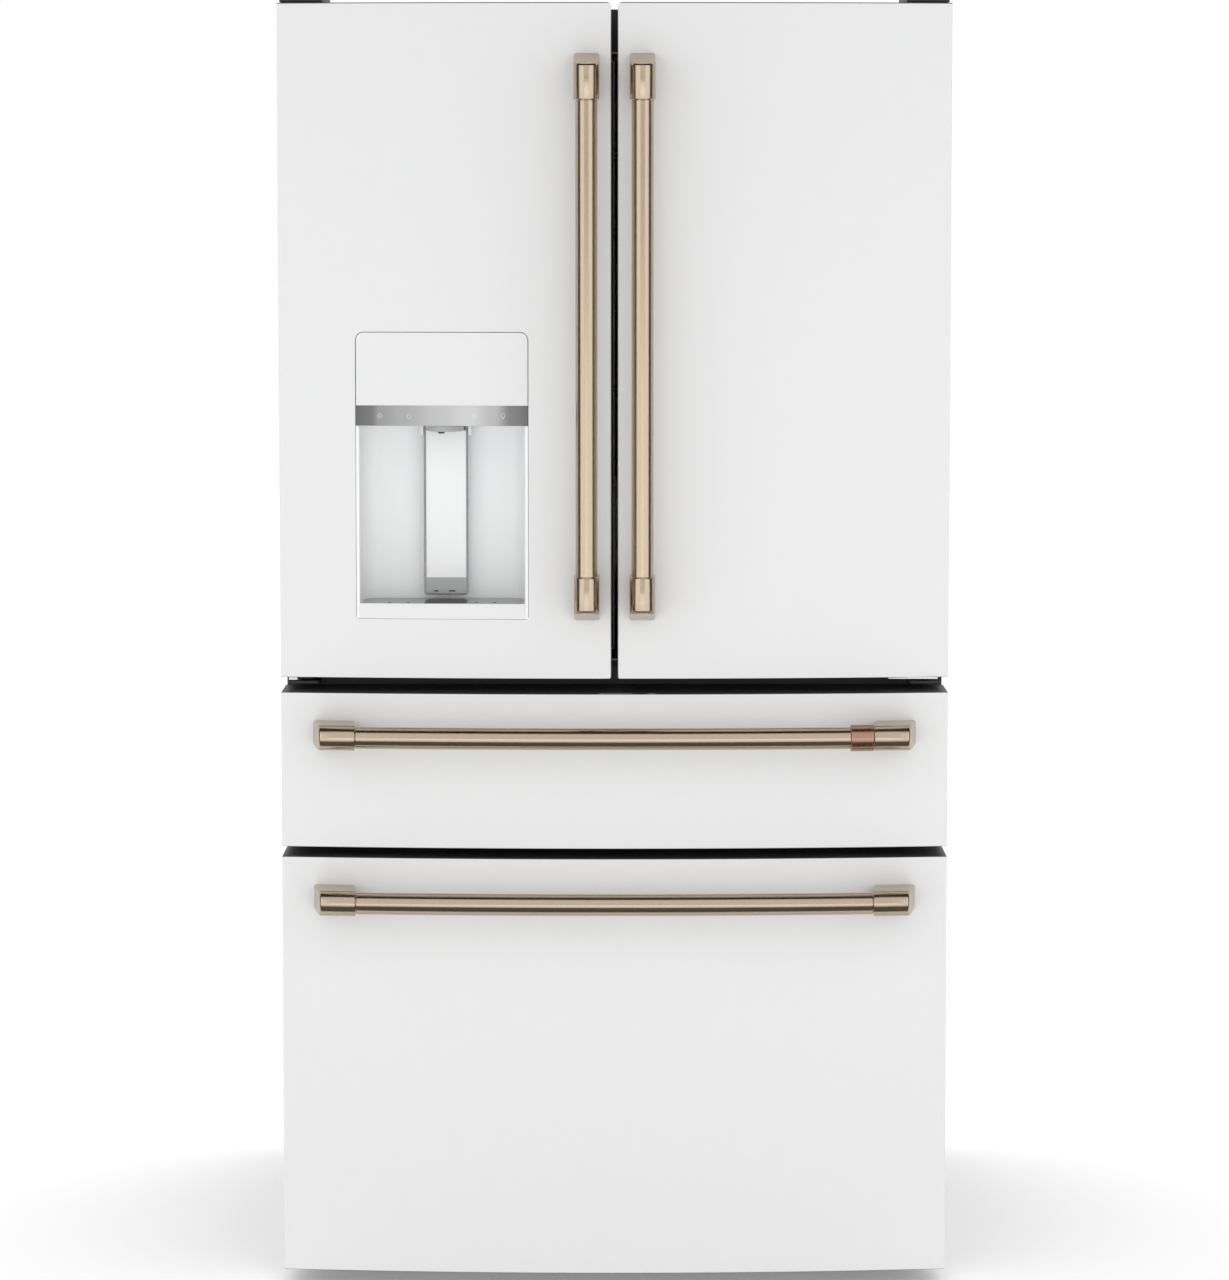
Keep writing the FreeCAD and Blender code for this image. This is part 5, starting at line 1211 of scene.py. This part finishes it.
lathe(bm, ((-92, 74), (-92, 76.5), (-74, 76.5), (-74, 74)), CONDENSER_FAN, "x", 72, closed=True)
lathe(bm, ((-42, 10), (-41.4, 22), (-39, 24), (-6, 24), (-2, 21), (0, 12)), CONDENSER_FAN, "x", 40)
block(bm, (-30, -12), (338, 362), (PAN, 127), 3.0)
block(bm, (-40, 2), (326, 374), (PAN, PAN + 5), 6.0)
piece("fan_motor", "cabinet", bm, BLACK, bevel=0.5)

# the back: a sheet with a hem and shallow pressed panels, and a vented cover below
half = span("rear_panel")[1]
REAR = span("rear_panel")[3]
bm = bmesh.new()
sheet_z = (302.6, span("rear_panel")[5])


def pressed(bm, x, z, fields):
    """A sheet with shallow pressed panels, made as frames and floors that share no gap."""
    block(bm, x, (REAR - 1.0, REAR - 0.75), z, 3.0, "y")
    border(bm, x, z, [(0, REAR - 0.9), (0, REAR - 0.2), (0.4, REAR), (15, REAR), (17, REAR - 0.85)], 4.0)
    for field_x, field_z in fields:
        cut_in = 12
        rings = [
            [(a, height, b) for a, b in rounded(field_x[0] + inset, field_x[1] - inset,
                                                field_z[0] + inset, field_z[1] - inset,
                                                max(30 - inset, 4))]
            for inset, height in ((0, REAR - 0.85), (3, REAR - 0.1), (cut_in, REAR - 0.1), (cut_in + 3,
                    REAR - 0.6))
        ]
        skin(bm, rings)


pressed(bm, (-half, half), sheet_z, [((-half + 40, -20), (350, 980)), ((20, half - 40), (350, 980)),
                                     ((-half + 40, -20), (1030, 1700)), ((20, half - 40), (1030, 1700))])
piece("rear_sheet", "cabinet", bm, CASE, "rear_panel")

bm = bmesh.new()
block(bm, (-half, half), (REAR - 1.0, REAR - 0.05), (PAN + 0.4, 301.6), 3.0, "y")
cover = piece("machine_cover", "cabinet", bm, CASE)
slots_tool = bmesh.new()
for column in range(-3, 4):
    for line in range(7):
        z = PAN + 50 + line * 22
        prism(slots_tool, rounded(column * 105 - 40, column * 105 + 40, z, z + 8, 3.9), REAR - 4,
              REAR + 3, "y")
carve(cover, "DIFFERENCE", slots_tool)
bm = bmesh.new()
for column in range(-3, 4):
    for line in range(7):
        z = PAN + 50 + line * 22
        rings = []
        for i in range(5):
            angle = math.radians(90 * i / 4)
            y = REAR - 1.0 - 5 * math.sin(angle)
            top = z + 8.4 - 6.5 * (1 - math.cos(angle))
            rings.append([(column * 105 - 41, y, top), (column * 105 + 41, y, top), (column * 105 + 41,
                    y - 0.6, top + 0.6),
                          (column * 105 - 41, y - 0.6, top + 0.6)])
        skin(bm, rings)
piece("cover_louvres", "cabinet", bm, CASE)
bm = bmesh.new()
for x in (-half + 8, -half / 2, 0, half / 2, half - 8):
    screw(bm, (x, 292), REAR - 2.2, "y", 4.2, 0.8)
    screw(bm, (x, PAN + 10), REAR - 2.2, "y", 4.2, 0.8)
for z in (420, 700, 1000, 1300, 1600):
    for side in (LEFT, RIGHT):
        screw(bm, (side * (half - 8), z), REAR - 2.2, "y", 3.6, 0.8)
piece("rear_screws", "cabinet", bm, ZINC)

# rollers
for end in ("front", "rear"):
    for side, word in ((LEFT, "left"), (RIGHT, "right")):
        x0, x1, y0, y1, z0, z1 = span(f"roller_{end}_{word}")
        centre = ((y0 + y1) / 2, (z0 + z1) / 2)
        r = (z1 - z0) / 2
        bm = bmesh.new()
        ring = [(x0 + 1, 4.2), (x0, 5.5), (x0, 8), (x0 + 1.6, 9), (x0 + 1.6, r - 4), (x0, r - 3), (x0,
                r - 1.2), (x0 + 1.2, r), (x1 - 1.2, r),
                (x1, r - 1.2), (x1, r - 3), (x1 - 1.6, r - 4), (x1 - 1.6, 9), (x1, 8), (x1, 5.5), (x1 - 1,
                        4.2)]
        lathe(bm, ring, centre, "x", 48, closed=True)
        for i in range(6):
            angle = 2 * math.pi * i / 6
            mid = (r - 4 + 9) / 2
            block(bm, (x0 + 0.6, x1 - 0.6), (centre[0] + mid * math.cos(angle) - 1,
                                             centre[0] + mid * math.cos(angle) + 1),
                  (centre[1] + mid * math.sin(angle) - 1, centre[1] + mid * math.sin(angle) + 1), 0.6, "x")
        piece(f"roller_{end}_{word}_wheel", f"{end}_{word}_roller", bm, NYLON, f"roller_{end}_{word}")


# ---------------------------------------------------------------- plates that close the foam

CASE_X = span("case_wrapper")[1]
CASE_FOOT = span("case_wrapper")[4]
bm = bmesh.new()
for side in (LEFT, RIGHT):
    x = sorted((side * 403.2, side * (CASE_X - 0.9)))
    block(bm, x, (-281.6, REAR - 0.9), (CASE_FOOT + 0.1, CASE_FOOT + 1.2), 2.0)
    block(bm, x, (REAR - 1.2, REAR - 0.1), (CASE_FOOT + 0.1, span("rear_panel")[4] + 0.2), 0.4)
block(bm, (-403.2, 403.2), (-281.4, 200.6), (74.2, 75.2), 2.0)
piece("wall_feet", "cabinet", bm, ZINC, bevel=0.3, segments=2)

for prefix in ("middle_drawer", "freezer_drawer"):
    _, _, _, back, z0, z1 = span(f"{prefix}_core")
    seal_x0, seal_x1, _, _, seal_z0, seal_z1 = span(f"{prefix}_seal")
    bm = bmesh.new()
    block(bm, (-452.7, 452.7), (back - 1.0, back + 0.35), (z0 + 0.3, z1 - 0.3), 4.0, "y")
    border(bm, (seal_x0 + 17, seal_x1 - 17), (seal_z0 + 17, seal_z1 - 17),
           [(0, back), (0.4, back + 1.4), (3, back + 1.8), (7, back + 1.8), (9.6, back + 1.4), (10,
                   back)], 10.0)
    piece(f"{prefix}_back_plate", prefix, bm, LINER, bevel=0.15, segments=2)

# small light marks on the middle drawer's top cap
middle_top = span("middle_drawer_end_caps")[5]
bm = bmesh.new()
for low, high in ((-20, 24), (45, 56)):
    block(bm, (low, high), (-399, -396.6), (middle_top - 0.6, middle_top + 0.15), 1.0)
piece("cap_marks", "middle_drawer", bm, MARK)

# ---------------------------------------------------------------- stage, lights and camera


def stage_plane(name, corners, material):
    mesh = bpy.data.meshes.new(name)
    mesh.from_pydata(corners, [], [tuple(range(len(corners)))])
    mesh.materials.append(material)
    item = bpy.data.objects.new(name, mesh)
    bpy.context.scene.collection.objects.link(item)
    return item


FLOOR = finish("studio_floor", (0.93, 0.93, 0.93), 0.9, grain=(2, 2, 2), tone=0.01,
               Emission_Color=(1, 1, 1, 1), Emission_Strength=0.2)
CARD = finish("black_card", (0.01, 0.01, 0.01), 0.9, grain=(2, 2, 2), tone=0.1)
CARD_MID = finish("mid_card", (0.3, 0.295, 0.29), 0.9, grain=(2, 2, 2), tone=0.1)
CARD_GREY = finish("grey_card", (0.12, 0.115, 0.11), 0.9, grain=(2, 2, 2), tone=0.1)
CARD_LIT = finish("lit_card", (0.1, 0.1, 0.1), 0.9, grain=(2, 2, 2), Emission_Color=(1, 1, 1, 1),
                  Emission_Strength=1.3)


def flat(x, near, far, z):
    """Corners of a level plane between -x and x."""
    return [(-x, near, z), (x, near, z), (x, far, z), (-x, far, z)]


stage_plane("floor", flat(14, -14, 14, 0), FLOOR)


def reflection_card(name, corners, material=CARD):
    """A card that only shows in glossy reflections."""
    card = stage_plane(name, corners, material)
    card.visible_camera = False
    card.visible_diffuse = False
    card.visible_shadow = False
    card.visible_transmission = False


def upright_card(name, material, near, far, z):
    """A standing card between two places seen from above."""
    reflection_card(name, [(*near, z[0]), (*far, z[0]), (*far, z[1]), (*near, z[1])], material)


for side, word in ((LEFT, "left"), (RIGHT, "right")):
    upright_card(f"card_{word}", CARD, (side * 3.2, -0.1), (side * 3.4, -1.9), (-0.5, 4.2))
    upright_card(f"lit_{word}", CARD_LIT, (side * 4.0, -2.4), (side * 2.6, -6.4), (0.0, 5.0))
upright_card("card_front", CARD_MID, (-2.6, -6.6), (2.6, -6.6), (-1.5, 1.6))
reflection_card("card_above", flat(3, -1.9, 0.45, 3.6))
reflection_card("card_floor", flat(3, -2.0, -0.6, 0.003), CARD_GREY)

# a flag over the front: it holds back a little of the light on the upper doors and shows in no reflection
flag = stage_plane("flag", flat(2, -2.2, -0.42, 3.2), CARD_MID)
flag.visible_camera = False
flag.visible_glossy = False


def softbox(name, where, aim, width, height, power):
    light = bpy.data.lights.new(name, "AREA")
    light.shape = "RECTANGLE"
    light.size, light.size_y = width, height
    light.energy = power
    item = bpy.data.objects.new(name, light)
    item.location = where
    item.rotation_euler = (Vector(aim) - Vector(where)).to_track_quat("-Z", "Y").to_euler()
    item.visible_camera = False
    bpy.context.scene.collection.objects.link(item)


softbox("key_low", (0, -5.5, 0.7), (0, 0, 0.3), 4.0, 1.2, 19)
softbox("top", (0, 1.6, 4.6), (0, 0.9, 0), 6.0, 4.0, 45)

world = bpy.data.worlds.new("studio")
world.use_nodes = True
world.node_tree.nodes["Background"].inputs["Color"].default_value = (1, 1, 1, 1)
world.node_tree.nodes["Background"].inputs["Strength"].default_value = 1.0
bpy.context.scene.world = world
bpy.context.scene.view_settings.view_transform = "Standard"

camera = bpy.data.cameras.new("camera")
camera.lens = 117.0
camera.sensor_width = 36
camera.shift_y = -0.097
camera_item = bpy.data.objects.new("camera", camera)
camera_item.location = (0, -6.0, 1.52)
camera_item.rotation_euler = Euler((math.radians(90 - 4.637), 0, 0))
bpy.context.scene.collection.objects.link(camera_item)
bpy.context.scene.camera = camera_item

# ---------------------------------------------------------------- CAD nodes that stay

slots = {row["node"]: row["material_slot"] for row in frame["record"]["subparts"]}
for name, item in frame["nodes"].items():
    item.data.materials.clear()
    item.data.materials.append(STANDARD[slots[name]])
